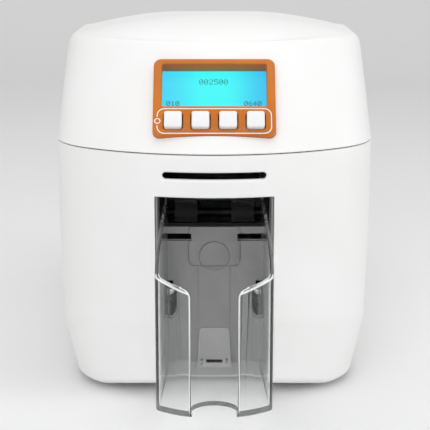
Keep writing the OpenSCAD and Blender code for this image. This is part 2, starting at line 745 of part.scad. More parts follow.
// Pin of the lid and pin of the feeder cover
module hinge_pins() {
    color("silver") at_nose() {
        along_x([-bay - plate_t, bay + plate_t], hinge_d, hinge_z, pin_r);
        along_x([-lug_x[1], lug_x[1]], feeder_pin_d, feeder_pin_z, feeder_pin_r);
    }
}
weight_h = 7;
module card_weight() {
    d = [well_front() + 0.6, well_back() - 0.6];
    color("dimgray") at_nose() {
        span([-well_x + 0.6, well_x - 0.6], d, [path_z + gap, path_z + gap + weight_h]);
        span([-2, 2], [d[0] + 30, d[1] - 30], [path_z + gap + weight_h, path_z + gap + weight_h + 9]);
    }
}

// Lid with its frame
latch_z = [173, 183];
frame_x = [bay - 6, bay - 3];
module lid_shell() {
    color("white") at_nose() difference() {
        lid_solid(0, lid_low);
        lid_solid(wall, lid_low - 1);
        span([-body_w / 2 + wall, body_w / 2 - wall], [lid_l - wall - 4.5, lid_l + 1],
            [lid_low - 1, hinge_z - 6]);
        span([-bay - 4, bay + 4], [hinge_d - 10, lid_l + 1],
            [hinge_z - 8, hinge_z + lug_r + 1.5]);
        for (s = [-1, 1])
            span([s * body_w / 2 - 10, s * body_w / 2 + 10],
                [latch_d - gap, latch_d + latch_len + gap], [latch_z[0] - gap, latch_z[1] + gap]);
        on_slope() round_plate(bezel_w + 0.4, bezel_h + 0.4, 4.8, [-20, 20]);
    }
}
frame_low = path_z + 17;
frame_top = crown(body_w / 2 - roof_in - 6, lid_l - roof_in) - wall - gap;
frame_d = [takeup_d - 21, lid_l - 27];
guide_x = 30;
boss_d = [104, 146];
boss_r = 4;
hub_r = 4;
// Sag of the roof's flat facets under the true arch
roof_sag = pow(0.24 * (body_w / 2 - roof_in), 2) / (8 * arch_r);
module lid_frame() {
    color("slategray") at_nose() {
        difference() {
            union() {
                for (s = [-1, 1]) {
                    x = s < 0 ? [-frame_x[1], -frame_x[0]] : frame_x;
                    side_plate(x, [[frame_d[0], frame_low], [frame_d[1], frame_low],
                        [hinge_d - 10, hinge_z - 6], [hinge_d, hinge_z - 6], [hinge_d - 3, hinge_z + 6],
                        [hinge_d - 14, frame_top], [frame_d[0] + 22, frame_top],
                        [frame_d[0], frame_top - 26]]);
                    along_x(s < 0 ? [-frame_x[1] - 2, -frame_x[0] + 2] : [frame_x[0] - 2, frame_x[1] + 2],
                        hinge_d, hinge_z, 6);
                }
                span([-frame_x[1], frame_x[1]], [frame_d[0] + 24, hinge_d - 12],
                    [frame_top - 2, frame_top]);
                span([-frame_x[1], frame_x[1]], [platen_d - 7, platen_d + 7], [190, 192]);
                for (x = [-guide_x, guide_x], d = boss_d)
                    translate([x, d, frame_top - 1])
                        cylinder(h = crown(abs(x) + boss_r, d) - wall - 1.5 * roof_sag - frame_top + 1,
                            r = boss_r);
            }
            along_x([-body_w, body_w], hinge_d, hinge_z, pin_r + run);
            for (d = [takeup_d, supply_d]) along_x([-bay, bay], d, spool_z, hub_r + run);
            for (s = [-1, 1]) translate([s * guide_x, platen_d, 180])
                cylinder(h = 60, r = 2 + run);
            for (x = [-18, 18], d = [takeup_d + 10, supply_d - 10])
                span([x - 12, x + 12], [d - 14, d + 14], [frame_top - 3, frame_top + 1]);
        }
    }
}

window_y = 7.9;
buttons_y = -16.5;
bezel_n = [-8, 1];
loop_w = 68.5;
loop_h = 17;
loop_y = -16.6;
function button_x(k) = (k - 2.5) * button_pitch;
module lcd_bezel() {
    color("darkorange") at_nose() on_slope() difference() {
        round_plate(bezel_w, bezel_h, 4.6, bezel_n);
        translate([0, window_y, 0]) round_plate(window_w, window_h, 1.5, [-10, 10]);
        for (k = [1:4]) translate([button_x(k), buttons_y, 0])
            round_plate(button_s + 2 * gap, button_s + 2 * gap, 1.8, [-10, 10]);
    }
}
module lcd_lens() {
    color("lightcyan") at_nose() on_slope() translate([0, window_y, 0])
        round_plate(window_w - gap, window_h - gap, 1.4, [-7.4, -6.6]);
}
module lcd_module() {
    color("cyan") at_nose() on_slope() translate([0, window_y, 0])
        span([-window_w / 2, window_w / 2], [-window_h / 2 + 0.5, window_h / 2], [-13, -8.2]);
}
module panel_print() {
    color("white") at_nose() on_slope() translate([0, loop_y, 0]) {
        difference() {
            round_plate(loop_w, loop_h, 4.6, [bezel_n[1], bezel_n[1] + 0.15]);
            round_plate(loop_w - 1.2, loop_h - 1.2, 4, [0, 2]);
            span([-loop_w / 2 - 1, -loop_w / 2 + 2], [-2.8, 2.8], [0, 2]);
        }
        translate([-loop_w / 2 + 0.4, 0, bezel_n[1]]) difference() {
            cylinder(h = 0.15, r = 1.9);
            translate([0, 0, -1]) cylinder(h = 2, r = 1.3);
        }
    }
}
module button(k) {
    color("white") at_nose() on_slope() translate([button_x(k), buttons_y, 0]) {
        round_plate(button_s, button_s, 1.5, [bezel_n[0] - 0.4, bezel_n[1] + button_out]);
        round_plate(button_s + 2.6, button_s + 2.6, 1.5, [bezel_n[0] - 1.6, bezel_n[0] - 0.4]);
    }
}
module button_1() {
    button(1);
}
module button_2() {
    button(2);
}
module button_3() {
    button(3);
}
module button_4() {
    button(4);
}
module button_board() {
    top = bezel_n[0] - 1.6 - button_travel - gap;
    color("green") at_nose() on_slope() {
        span([-34, 34], [-bezel_h / 2 + 1, window_y - window_h / 2 - 1], [top - 3.2, top - 1.6]);
        for (k = [1:4]) translate([button_x(k), buttons_y, top - 1.6]) {
            translate([-3, -3, 0]) cube([6, 6, 1]);
            cylinder(h = 1.6, r = 1.5);
        }
    }
}
latch_out = -1.5;
module latch(s) {
    w = body_w / 2;
    color("gainsboro") at_nose() mirror([s < 0 ? 1 : 0, 0, 0]) {
        span([latch_x - 1, w + latch_out], [latch_d, latch_d + latch_len], latch_z);
        span([latch_x - 1, latch_x + 3], [latch_d, latch_d + latch_len],
            [nose_z[0], latch_z[1]]);
        span([latch_x + 2.9, latch_x + nose_out], [latch_d, latch_d + latch_len], nose_z);
    }
}
module latch_left() {
    latch(-1);
}
module latch_right() {
    latch(1);
}

// Printhead, film and its drive
film_t = 0.3;
film_low = path_z + 0.4;
head_z = film_low + film_t + gap;
head_d = [platen_d - 8, platen_d + 8];
sink_z = [head_z + 4, 178];
module head_carrier() {
    color("silver") at_nose() {
        difference() {
            span([-frame_x[0] + 3, frame_x[0] - 3], [head_d[0] + 1, head_d[1] - 1], sink_z);
            for (k = [-5:5]) span([k * 5 - 1.5, k * 5 + 1.5], [head_d[0], head_d[1]],
                [sink_z[0] + 6, sink_z[1] + 1]);
        }
        for (s = [-1, 1]) translate([s * guide_x, platen_d, sink_z[1] - 0.01])
            cylinder(h = 24, r = 2);
    }
}
module printhead() {
    color("tan") at_nose() {
        span([-30, 30], head_d, [head_z + 1, sink_z[0]]);
        along_x([-28, 28], platen_d, head_z + 1, 1);
    }
}
module spool(d, r) {
    along_x([-frame_x[0] + 5, frame_x[0] - 5], d, spool_z, spool_core_r);
    along_x([-frame_x[1] - 0.6, frame_x[1] + 0.6], d, spool_z, hub_r);
    difference() {
        along_x([-film_w / 2, film_w / 2], d, spool_z, r);
        along_x([-film_w, film_w], d, spool_z, spool_core_r);
    }
}
module supply_spool() {
    color("dimgray") at_nose() spool(supply_d, supply_r);
}
gear_r = gear_m * gear_teeth / 2;
pinion_r = gear_m * pinion_teeth / 2;
gear_x = [frame_x[1] + 0.6, frame_x[1] + 4.6];
pinion_z = spool_z + gear_r + pinion_r + 0.1;
// Toothed outline with a tooth at the angle start
function gear_points(n, start) = let (p = gear_m * n / 2, q = 90 / n)
    [for (k = [0:n - 1]) let (a = start + 360 * k / n) each [
        for (e = [[-1.1, -1.15], [-0.78, 0], [-0.36, 0.8], [0.36, 0.8], [0.78, 0], [1.1, -1.15]])
            let (r = p + gear_m * e[1]) [r * cos(a + e[0] * q), r * sin(a + e[0] * q)]]];
module gear(x, d, z, n, start) {
    translate([x[0], d, z]) rotate([90, 0, 90]) linear_extrude(x[1] - x[0])
        polygon(gear_points(n, start));
}
module takeup_spool() {
    color("dimgray") at_nose() {
        spool(takeup_d, used_r);
        gear(gear_x, takeup_d, spool_z, gear_teeth, 90 + 180 / gear_teeth);
    }
}
film_p = [platen_d - 12, platen_d + 12];
function film_end(p, c, r, s) = let (v = [c - p, spool_z - film_low], l = norm(v),
    a = atan2(v[1], v[0]) + s * asin(r / l), t = sqrt(l * l - r * r))
    [p + t * cos(a), film_low + t * sin(a)];
module ribbon_film() {
    a = film_end(film_p[0], takeup_d, used_r + gap + film_t, -1);
    b = film_end(film_p[1], supply_d, supply_r + gap + film_t, 1);
    color("saddlebrown") at_nose() side_plate([-film_w / 2 + 1, film_w / 2 - 1],
        [a, [film_p[0], film_low], [film_p[1], film_low], b, [b[0] - film_t, b[1]],
            [film_p[1] - 0.2, film_low + film_t], [film_p[0] + 0.2, film_low + film_t],
            [a[0] + film_t, a[1]]]);
}
module ribbon_motor() {
    x = gear_x[1] + 1;
    color("dimgray") at_nose() {
        difference() {
            union() {
                along_x([x, x + 24], takeup_d, pinion_z, 11);
                side_plate([x, x + 1.5], [[takeup_d - 18, pinion_z + 3], [takeup_d + 18, pinion_z + 3],
                    [takeup_d + 18, pinion_z + 15], [takeup_d - 18, pinion_z + 15]]);
            }
            along_x([x - 1, x + 8], takeup_d, pinion_z, 1.5 + run);
        }
        for (s = [-1, 1]) along_x([frame_x[1], x], takeup_d + s * 14, pinion_z + 9, 2);
    }
}
module ribbon_pinion() {
    color("gold") at_nose() {
        along_x([gear_x[1], gear_x[1] + 8], takeup_d, pinion_z, 1.5);
        gear(gear_x, takeup_d, pinion_z, pinion_teeth, -90);
    }
}

base_shell();
base_pan();
rubber_feet();
pan_screws();
recess_panel();
exit_throat();
output_hopper();
top_deck();
deck_fittings();
card_bed();
chassis_left();
chassis_right();
cross_bars();
shaft_bushes();
exit_shaft();
exit_rubber();
infeed_shaft();
infeed_rubber();
platen_shaft();
platen_rubber();
cleaning_shaft();
cleaning_sleeve();
pick_shaft();
pick_rubber();
exit_pinch();
infeed_pinch();
cleaning_pinch();
drive_motor();
motor_pulley();
timing_belt();
main_board();
board_parts();
rear_panel();
dc_inlet();
usb_port();
ethernet_port();
feeder_housing();
feeder_cover();
hinge_pins();
card_weight();
lid_shell();
lid_frame();
lcd_bezel();
lcd_lens();
lcd_module();
panel_print();
button_1();
button_2();
button_3();
button_4();
button_board();
latch_left();
latch_right();
head_carrier();
printhead();
supply_spool();
takeup_spool();
ribbon_film();
ribbon_motor();
ribbon_pinion();
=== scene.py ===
"""Looks of the desktop card printer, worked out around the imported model."""
import math

import bpy
import numpy as np
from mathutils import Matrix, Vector
from bpy.props import FloatProperty, FloatVectorProperty, PointerProperty


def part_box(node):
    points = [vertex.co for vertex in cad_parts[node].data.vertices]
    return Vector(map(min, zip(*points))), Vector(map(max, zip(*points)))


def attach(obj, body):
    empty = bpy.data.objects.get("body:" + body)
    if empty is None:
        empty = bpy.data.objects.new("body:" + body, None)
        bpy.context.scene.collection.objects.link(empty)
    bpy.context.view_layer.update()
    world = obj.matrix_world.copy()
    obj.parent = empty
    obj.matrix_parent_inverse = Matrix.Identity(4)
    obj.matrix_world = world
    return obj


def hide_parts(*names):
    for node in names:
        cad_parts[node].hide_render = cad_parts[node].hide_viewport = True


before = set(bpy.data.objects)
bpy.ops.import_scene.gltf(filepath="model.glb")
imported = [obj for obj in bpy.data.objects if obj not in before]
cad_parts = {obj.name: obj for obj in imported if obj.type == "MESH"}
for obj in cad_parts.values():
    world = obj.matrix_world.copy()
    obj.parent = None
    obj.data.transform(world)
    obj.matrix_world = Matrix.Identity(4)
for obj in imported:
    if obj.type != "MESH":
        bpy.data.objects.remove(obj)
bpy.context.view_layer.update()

bl_info = {
    "name": "Card printer",
    "version": (1, 0, 0),
    "blender": (4, 5, 0),
    "location": "View3D > Sidebar > Card printer",
    "description": "Casing, hopper, control panel and finishes of a desktop card printer",
    "category": "Object",
}

MM = 0.001
SHARP = 32.0


def limits(name):
    """Lowest and highest corner of a frame node, in millimetres."""
    low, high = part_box(name)
    return np.array(low) / MM, np.array(high) / MM


BASE_LOW, BASE_HIGH = limits("base_shell")
LID_LOW, LID_HIGH = limits("lid_shell")

# Plan outline of the casing, in millimetres as all that follows: nose, corner and rear arcs
HALF_W = BASE_HIGH[0]
BODY_L = 340.0
NOSE_Y = BASE_HIGH[1] - BODY_L
WALL = 2.6
NOSE_R = 132.0
CORNER_R = 53.7
REAR_R = 25.0
CORNER_X = HALF_W - CORNER_R
CORNER_D = NOSE_R - math.sqrt((NOSE_R - CORNER_R) ** 2 - CORNER_X ** 2)
JOIN = math.atan2(CORNER_X, NOSE_R - CORNER_D)

# Base: its heights, the lean of its lower band, and the underside that rises to the nose
BASE_TOP = BASE_HIGH[2]
FOOT_H = BASE_LOW[2]
CREASE_IN = 1.9
BAND_IN = 9.2
EDGE_R = 4.0
EDGE = 0.8
UNDER_D = 35.0
UNDER_RISE = math.tan(math.radians(21.5))
PAN_D = (CORNER_D - 18.4, BODY_L - 40)

# Lid: its seam, the lean of its front, its shoulder and its arched crown
LID_BOTTOM = LID_LOW[2]
LID_L = LID_HIGH[1] - NOSE_Y
LID_REAR_R = 8.0
SEAM_Z = (BASE_TOP + LID_BOTTOM) / 2
LEAN = math.radians(36)
SHOULDER_Z = 216.0
CROWN_Z = 233.8
ARCH_R = 350.0

# Control panel, its rows measured up the lid front from the middle of the bezel
PANEL_Z = 190.0
BEZEL_W = 73.4
BEZEL_H = 51.9
WINDOW_Y = 7.9
KEYS_Y = -16.5
KEY_X = [(k - 1.5) * 16.4 for k in range(4)]

# Recess with the card exit, the hopper's tabs in its back, and the hand feed slot above
RECESS_HALF = 35.7
RECESS_TOP = 132.7
RECESS_BACK = 42.9
TAB_X = 30.0
TAB_Z = 58.5
PATH_Z = 145.8
SLOT_HALF = 30.85
SLOT_H = 4.0

# Card feeder: its tower, its well and the pin of its cover
FEEDER_TOP = 205.0
TOWER_D = 205.0
WELL_HALF = 27.8
WELL_BACK = BODY_L - 18
WELL_FRONT = WELL_BACK - 87.0
COVER_PIN = np.array([BODY_L - 13, FEEDER_TOP + 4])

# Lid catches and output hopper
CATCH_D = 102.0
CATCH_Z = 178.0
HOPPER_Z = 14.7
HOPPER_FLOOR = 17.5
HOPPER_END = 38.0
HOPPER_T = 2.2
HOPPER_OUT = 51.5

# Limits of a cutter that goes right across the casing
ACROSS = (-120, 120)


def lean_at(z):
    """Distance behind the nose of the leaning lid front at height z."""
    return (z - SEAM_Z) * math.tan(LEAN)


def under(d):
    """Height of the underside: level at the back, rising towards the nose."""
    return FOOT_H + np.maximum(0, (UNDER_D - d) * UNDER_RISE)


def crease(d):
    """Height of the crease, which falls by 0.246 mm for each mm behind the nose."""
    return np.maximum(56 - 0.246 * d, under(d) + 14)


def crown(x, d):
    """Height of the roof: an arch across, a parabola down to the front and one to the back."""
    front = 0.0058 * np.maximum(100 - d, 0) ** 2
    back = 0.0019 * np.maximum(d - 150, 0) ** 2
    return CROWN_Z - x ** 2 / (2 * ARCH_R) - front - back


def plan(inset, push=0.0, length=BODY_L, rear_r=REAR_R):
    """Plan outline: nose arc, corner arcs, straight sides and rear arcs, drawn in by inset.

    The arcs keep their centres and lose the inset from their radii, so every outline is
    parallel to the outermost one. Gives x and the distance behind the nose, the left half first.
    """
    n, c, s, r = 34, 20, 18, 10
    a = JOIN * (np.arange(n) + 0.5) / n
    nose = np.c_[(NOSE_R - inset) * np.sin(a), NOSE_R - (NOSE_R - inset) * np.cos(a) + push]
    a = JOIN + (math.pi / 2 - JOIN) * np.arange(c + 1) / c
    q = CORNER_R - inset
    corner = np.c_[CORNER_X + q * np.sin(a), CORNER_D - q * np.cos(a) + push]
    t = np.arange(1, s + 1) / (s + 1)
    side = np.c_[np.full(s, HALF_W - inset), (CORNER_D + push) * (1 - t) + (length - rear_r) * t]
    a = math.pi / 2 * np.arange(r + 1) / r
    q = max(rear_r - inset, 0.5)
    rear = np.c_[HALF_W - inset - q + q * np.cos(a), length - inset - q + q * np.sin(a)]
    half = np.concatenate([nose, corner, side, rear])
    return np.concatenate([half[::-1] * [-1, 1], half])


def ring(outline, z):
    """Outline lifted to the height z, which is a number or one height a point."""
    return np.c_[outline, np.broadcast_to(z, len(outline))]


def soften(rows, passes=2):
    """Cuts every corner between rows at a quarter and three quarters, passes times."""
    rows = np.asarray(rows)
    for _ in range(passes):
        a, b = rows[:-1], rows[1:]
        mid = np.stack([0.75 * a + 0.25 * b, 0.25 * a + 0.75 * b], 1).reshape(-1, *rows.shape[1:])
        rows = np.concatenate([rows[:1], mid, rows[-1:]])
    return rows


def fill(a, b, n):
    """n rows from a to b, both ends left out."""
    t = np.arange(1, n + 1) / (n + 1)
    return a + (b - a) * t[:, None, None]


def quad_faces(m, n, closed_u=True, closed_v=False):
    """Indices of the quads of a grid of m rows and n columns."""
    i = np.arange(m if closed_v else m - 1)[:, None]
    j = np.arange(n if closed_u else n - 1)[None, :]
    a, b = i * n + j, i * n + (j + 1) % n
    up = (i + 1) % m * n
    return np.stack([a, b, up + (j + 1) % n, up + j], -1).reshape(-1, 4)


def surface(rows, closed_u=True, closed_v=False, caps=()):
    """Vertices and faces of a grid; caps names the ends that get one flat face."""
    rows = np.asarray(rows, float)
    m, n = rows.shape[:2]
    faces = quad_faces(m, n, closed_u, closed_v).tolist()
    if "low" in caps:
        faces.append(list(range(n))[::-1])
    if "high" in caps:
        faces.append(list(range((m - 1) * n, m * n)))
    return rows.reshape(-1, 3), faces


def outward(verts, faces):
    """Faces turned so that the enclosed volume is positive."""
    volume = 0.0
    for f in faces:
        p = verts[f]
        volume += np.einsum("ij,ij->", np.cross(p[1:-1], p[2:]), np.broadcast_to(p[0], (len(f) - 2, 3)))
    return faces if volume > 0 else [f[::-1] for f in faces]


def add_object(name, data):
    """Object with the given data, linked to the scene."""
    obj = bpy.data.objects.new(name, data)
    bpy.context.scene.collection.objects.link(obj)
    return obj


def add_mesh(name, verts, faces, sharp):
    """Mesh object from vertices in metres and faces, with its edges kept sharp as finish_mesh does."""
    mesh = bpy.data.meshes.new(name)
    mesh.from_pydata(verts.tolist(), [], faces)
    finish_mesh(mesh, sharp)
    return add_object(name, mesh)


def build(name, parts):
    """Mesh object from closed parts in millimetres behind the nose, in metres in the frame."""
    verts, faces, start = [], [], 0
    for v, f in parts:
        f = outward(v, f)
        verts.append(v)
        faces += [[k + start for k in face] for face in f]
        start += len(v)
    return add_mesh(name, (np.concatenate(verts) + [0, NOSE_Y, 0]) * MM, faces, SHARP)


def finish_mesh(mesh, sharp):
    """Smooth shading, with an edge kept where faces meet at more than sharp degrees."""
    mesh.update()
    mesh.validate()
    mesh.polygons.foreach_set("use_smooth", np.ones(len(mesh.polygons), bool))
    mesh.set_sharp_from_angle(angle=math.radians(sharp))


def values(items, key, width=1):
    """Values of all items of a mesh as an array, one row an item where there are several."""
    out = np.empty(len(items) * width, np.int32 if key == "material_index" else np.float32)
    items.foreach_get(key, out)
    return out.reshape(-1, width) if width > 1 else out


def baked(obj, sharp=SHARP):
    """Applies the modifiers of a piece to its mesh."""
    deps = bpy.context.evaluated_depsgraph_get()
    mesh = bpy.data.meshes.new_from_object(obj.evaluated_get(deps))
    obj.modifiers.clear()
    obj.data = mesh
    finish_mesh(mesh, sharp)
    return obj


def carve(obj, parts, operation="DIFFERENCE"):
    """Takes closed parts or whole pieces out of a piece, or adds them."""
    cutters = [p if isinstance(p, bpy.types.Object) else build("cutter", [p]) for p in parts]
    for c in cutters:
        m = obj.modifiers.new("cut", "BOOLEAN")
        m.operation = operation
        m.solver = "EXACT"
        m.object = c
    baked(obj)
    for c in cutters:
        bpy.data.objects.remove(c)
    return obj


def bevel(obj, width, angle, sharp=SHARP, slot=-1, clamp=True):
    """Rounds the edges of a piece that turn by more than angle degrees; width in mm.

    The new faces take the material of the given slot.
    """
    m = obj.modifiers.new("round", "BEVEL")
    m.width = width * MM
    m.segments = 2
    m.limit_method = "ANGLE"
    m.angle_limit = math.radians(angle)
    m.use_clamp_overlap = clamp
    m.material = slot
    return baked(obj, sharp)


def loop_2d(w, h, r, n=8, cx=0.0, cy=0.0):
    """Rectangle outline with round corners of radius r, n steps a corner."""
    a = np.linspace(0, math.pi / 2, n + 1)
    arc = np.c_[np.cos(a), np.sin(a)] * r
    corners = []
    for k, (sx, sy) in enumerate(((1, 1), (-1, 1), (-1, -1), (1, -1))):
        c, s = math.cos(k * math.pi / 2), math.sin(k * math.pi / 2)
        turned = arc @ np.array([[c, s], [-s, c]])
        corners.append(turned + [sx * (w / 2 - r) + cx, sy * (h / 2 - r) + cy])
    return np.concatenate(corners)


def disc(r, n, x=0.0, y=0.0):
    """Circle outline of n points with radius r."""
    a = np.linspace(0, 2 * math.pi, n, endpoint=False)
    return np.c_[np.cos(a), np.sin(a)] * r + [x, y]


def prism(outline, low, high, place):
    """Outline drawn from the height low to high in the local frame of place."""
    v, f = surface([ring(outline, z) for z in (low, high)], caps=("low", "high"))
    return place(v), f


def upright(v):
    """Local x, y and z are across, behind the nose and up."""
    return v


def facing(v):
    """Local x and y are across and up, and z runs behind the nose."""
    return np.c_[v[:, 0], v[:, 2], v[:, 1]]


def sideways(v):
    """Local x and y are behind the nose and up, and z runs across."""
    return np.c_[v[:, 2], v[:, 0], v[:, 1]]


def on_slope(v):
    """Local x is across, y up the lid front and z out of it, from the middle of the bezel."""
    c, s = math.cos(math.pi / 2 - LEAN), math.sin(math.pi / 2 - LEAN)
    d = lean_at(PANEL_Z) + v[:, 1] * c - v[:, 2] * s
    return np.c_[v[:, 0], d, PANEL_Z + v[:, 1] * s + v[:, 2] * c]


def block(x, d, z):
    """Closed box between the given limits, for cutting."""
    o = loop_2d(x[1] - x[0], d[1] - d[0], 1e-3, 1, (x[0] + x[1]) / 2, (d[0] + d[1]) / 2)
    return prism(o, z[0], z[1], upright)


def rounded(outline, low, high, rim, place, lose=1.0):
    """Plate between two heights whose rims are quarter rounds of radius rim.

    outline is the width, height, corner radius, corner steps and middle for loop_2d; while a
    rim goes in by rim(1 - cos a) it rises by rim sin a, and the corners lose a share of that.
    """
    w, h, r, *rest = outline
    a = np.linspace(0, math.pi / 2, 5)
    ins = np.concatenate([rim * (1 - np.sin(a)), rim * (1 - np.cos(a))])
    zs = np.concatenate([low + rim * (1 - np.cos(a)), high - rim * (1 - np.sin(a))])
    rows = [ring(loop_2d(w - 2 * i, h - 2 * i, r - lose * i, *rest), z) for i, z in zip(ins, zs)]
    v, f = surface(rows, caps=("low", "high"))
    return place(v), f


def dense(outline):
    """Closed outline with points added so that no straight run is longer than 4 mm."""
    runs = []
    for a, b in zip(outline, np.roll(outline, -1, axis=0)):
        n = max(1, math.ceil(np.linalg.norm(b - a) / 4.0))
        runs.append(a + (b - a) * (np.arange(n) / n)[:, None])
    return np.concatenate(runs)


def through_skin(w, h, r, cx, cz, skin, depth, edge, n=8):
    """Cutter for an opening in the front, whose rim flares like a quarter round.

    Rings of a round cornered rectangle run from a flat end outside the skin to the given depth;
    near the skin each ring follows it and grows by edge(1 - sin a) at the depth edge(1 - cos a).
    """
    a = np.linspace(0, math.radians(80), 6)
    o = dense(loop_2d(w, h, r, n))
    half = np.array([w, h]) / 2 - r
    wide = np.sign(o) * (np.abs(o) >= half)
    wide /= np.maximum(np.linalg.norm(wide, axis=1, keepdims=True), 1)
    corner = (np.abs(o) > half).all(axis=1)
    from_centre = o - np.sign(o) * half
    wide[corner] = from_centre[corner] / np.linalg.norm(from_centre[corner], axis=1, keepdims=True)
    out = o + wide * 5 * edge + [cx, cz]
    rows = [ring(out, -30.0), ring(out, skin(*out.T) - 4 * edge)]
    for t in a:
        p = o + wide * edge * (1 - math.sin(t)) + [cx, cz]
        rows.append(ring(p, skin(*p.T) + edge * (1 - math.cos(t))))
    rows.append(ring(o + [cx, cz], depth))
    return surface([facing(row) for row in rows], caps=("low", "high"))


# Materials

def linear(code):
    """Linear colour of an sRGB hex code; a colour that is linear already stays as it is."""
    if not isinstance(code, str):
        return tuple(code)
    v = np.array([int(code[i:i + 2], 16) for i in (1, 3, 5)]) / 255
    v = np.where(v <= 0.04045, v / 12.92, ((v + 0.055) / 1.055) ** 2.4)
    return (*v.tolist(), 1.0)


def node(tree, kind, settings=None, inputs=None):
    """Adds a shader node, sets its settings and fills or links its inputs."""
    n = tree.nodes.new("ShaderNode" + kind)
    for key, value in (settings or {}).items():
        setattr(n, key, value)
    for key, value in (inputs or {}).items():
        if isinstance(value, bpy.types.NodeSocket):
            tree.links.new(value, n.inputs[key])
        else:
            n.inputs[key].default_value = value
    return n


def new_material(name):
    """Empty node material: the material, its tree, and the object coordinates in millimetres."""
    m = bpy.data.materials.new(name)
    m.use_nodes = True
    m.node_tree.nodes.clear()
    tree = m.node_tree
    place = node(tree, "TexCoord").outputs["Object"]
    mm = node(tree, "VectorMath", {"operation": "SCALE"}, {0: place, "Scale": 1 / MM})
    return m, tree, mm.outputs[0]


def principled(m, tree, inputs):
    """Ends a material in one principled shader with these inputs."""
    shader = node(tree, "BsdfPrincipled", None, inputs)
    node(tree, "OutputMaterial", None, {"Surface": shader.outputs[0]})
    return m


def noise(tree, place, size, detail=2.0, roughness=0.5):
    """Noise whose blotches are about size millimetres across."""
    n = node(tree, "TexNoise", None, {"Vector": place, "Scale": 1 / size, "Detail": detail,
                                      "Roughness": roughness})
    return n.outputs[0]


def ramp(tree, value, start, end, low, high, shape="LINEAR"):
    """Value turned from start..end into low..high."""
    n = node(tree, "MapRange", {"interpolation_type": shape},
             {0: value, 1: start, 2: end, 3: low, 4: high})
    return n.outputs[0]


def between(tree, factor, low, high):
    """Value from low to high as the factor goes from 0.3 to 0.7, as most noise does."""
    return ramp(tree, factor, 0.3, 0.7, low, high)


def blended(tree, factor, a, b):
    """Mix of two colours or sockets by a factor."""
    n = node(tree, "Mix", {"data_type": "RGBA"}, {0: factor, 6: a, 7: b})
    return n.outputs[2]


def drift(tree, slow, colour, shift, most=1.0):
    """Colour that a slow noise turns towards a second one, at most by a share."""
    return blended(tree, between(tree, slow, 0.0, most), linear(colour), linear(shift))


def relief(tree, height, depth):
    """Normal of a height field that is depth millimetres deep."""
    bump = node(tree, "Bump", None, {"Height": height, "Distance": depth * MM, "Strength": 1.0})
    return bump.outputs[0]


def plastic(name, colour, shift, rough, grain, depth, blotch=40.0, coat=0.0, specular=0.5):
    """Moulded plastic: a slow drift in tone, a tooled grain and a roughness that varies with it."""
    m, tree, place = new_material(name)
    slow = noise(tree, place, blotch, 2.0)
    fine = noise(tree, place, grain, 3.0, 0.6)
    tone = drift(tree, slow, colour, shift)
    return principled(m, tree, {
        "Base Color": tone, "Roughness": between(tree, fine, rough - 0.04, rough + 0.05),
        "IOR": 1.53, "Specular IOR Level": specular, "Coat Weight": coat, "Coat Roughness": 0.08,
        "Normal": relief(tree, fine, depth)})


def metal(name, colour, shift, rough, axis, length, width, depth, blotch=18.0):
    """Worked metal: lines length by width millimetres along an axis, and a slow drift in tone."""
    m, tree, place = new_material(name)
    scale = [1 / width] * 3
    scale[axis] = 1 / length
    stretched = node(tree, "Mapping", None, {"Vector": place, "Scale": scale}).outputs[0]
    lines = node(tree, "TexNoise", None, {"Vector": stretched, "Scale": 1.0, "Detail": 3.0}).outputs[0]
    slow = noise(tree, place, blotch)
    tone = drift(tree, slow, colour, shift)
    return principled(m, tree, {
        "Base Color": tone, "Metallic": 1.0,
        "Roughness": between(tree, lines, rough - 0.05, rough + 0.08),
        "Normal": relief(tree, lines, depth)})


def rubber(name, colour, shift, rough, grain, depth, sheen):
    """Elastomer: a matt ground or moulded skin with dust in its grain and a weak sheen."""
    m, tree, place = new_material(name)
    fine = noise(tree, place, grain, 4.0, 0.65)
    dust = noise(tree, place, 6.0, 3.0, 0.7)
    tone = drift(tree, dust, colour, shift, 0.6)
    return principled(m, tree, {
        "Base Color": tone, "Roughness": between(tree, fine, rough - 0.05, rough + 0.05),
        "IOR": 1.52, "Specular IOR Level": 0.3, "Sheen Weight": sheen, "Sheen Roughness": 0.5,
        "Normal": relief(tree, fine, depth)})


def clear_acrylic(name, clear, colour, rough):
    """Injection moulded clear acrylic for the hopper.

    It bends what is behind it a little and carries a trace of milk; faint flow lines from the
    gate ripple it. Copies made less clear and whiter go on the hopper's rims as a painted
    highlight and on its tray floor as painted brightness.
    """
    m, tree, place = new_material(name)
    flow = noise(tree, place, 9.0, 1.0)
    fine = noise(tree, place, 0.8, 2.0)
    return principled(m, tree, {
        "Base Color": linear(colour), "Transmission Weight": clear, "IOR": 1.2,
        "Roughness": between(tree, fine, rough, rough + 0.03),
        "Normal": relief(tree, flow, 0.01)})


def lcd_screen(low, high):
    """Lit display under its film: brightest in the middle, deeper cyan at both ends.

    The light is a smooth bell across the width, and the column lines of the cells, drawn 0.6 mm
    apart so that they show, dim it a little.
    """
    m, tree, place = new_material("backlit LCD, negative film")
    x = node(tree, "SeparateXYZ", None, {0: place}).outputs[0]
    left, right = [ramp(tree, x, end, end * 0.15, 0.0, 1.0, "SMOOTHSTEP") for end in (low, high)]
    ends = blended(tree, ramp(tree, x, low, high, 0.0, 1.0), linear("#49DDFC"), linear("#40C8F6"))
    bell = node(tree, "Math", {"operation": "MULTIPLY"}, {0: left, 1: right}).outputs[0]
    glow = blended(tree, bell, ends, linear("#46FEFE"))
    cells = node(tree, "TexWave", {"bands_direction": "X"}, {"Vector": place, "Scale": 0.52}).outputs["Fac"]
    dim = ramp(tree, cells, 0.0, 0.2, 0.95, 1.0)
    lit = node(tree, "VectorMath", {"operation": "SCALE"}, {0: glow, "Scale": dim}).outputs[0]
    return principled(m, tree, {
        "Base Color": linear("#06181A"), "Roughness": 0.3, "Specular IOR Level": 0.2,
        "Emission Color": lit, "Emission Strength": 0.95})


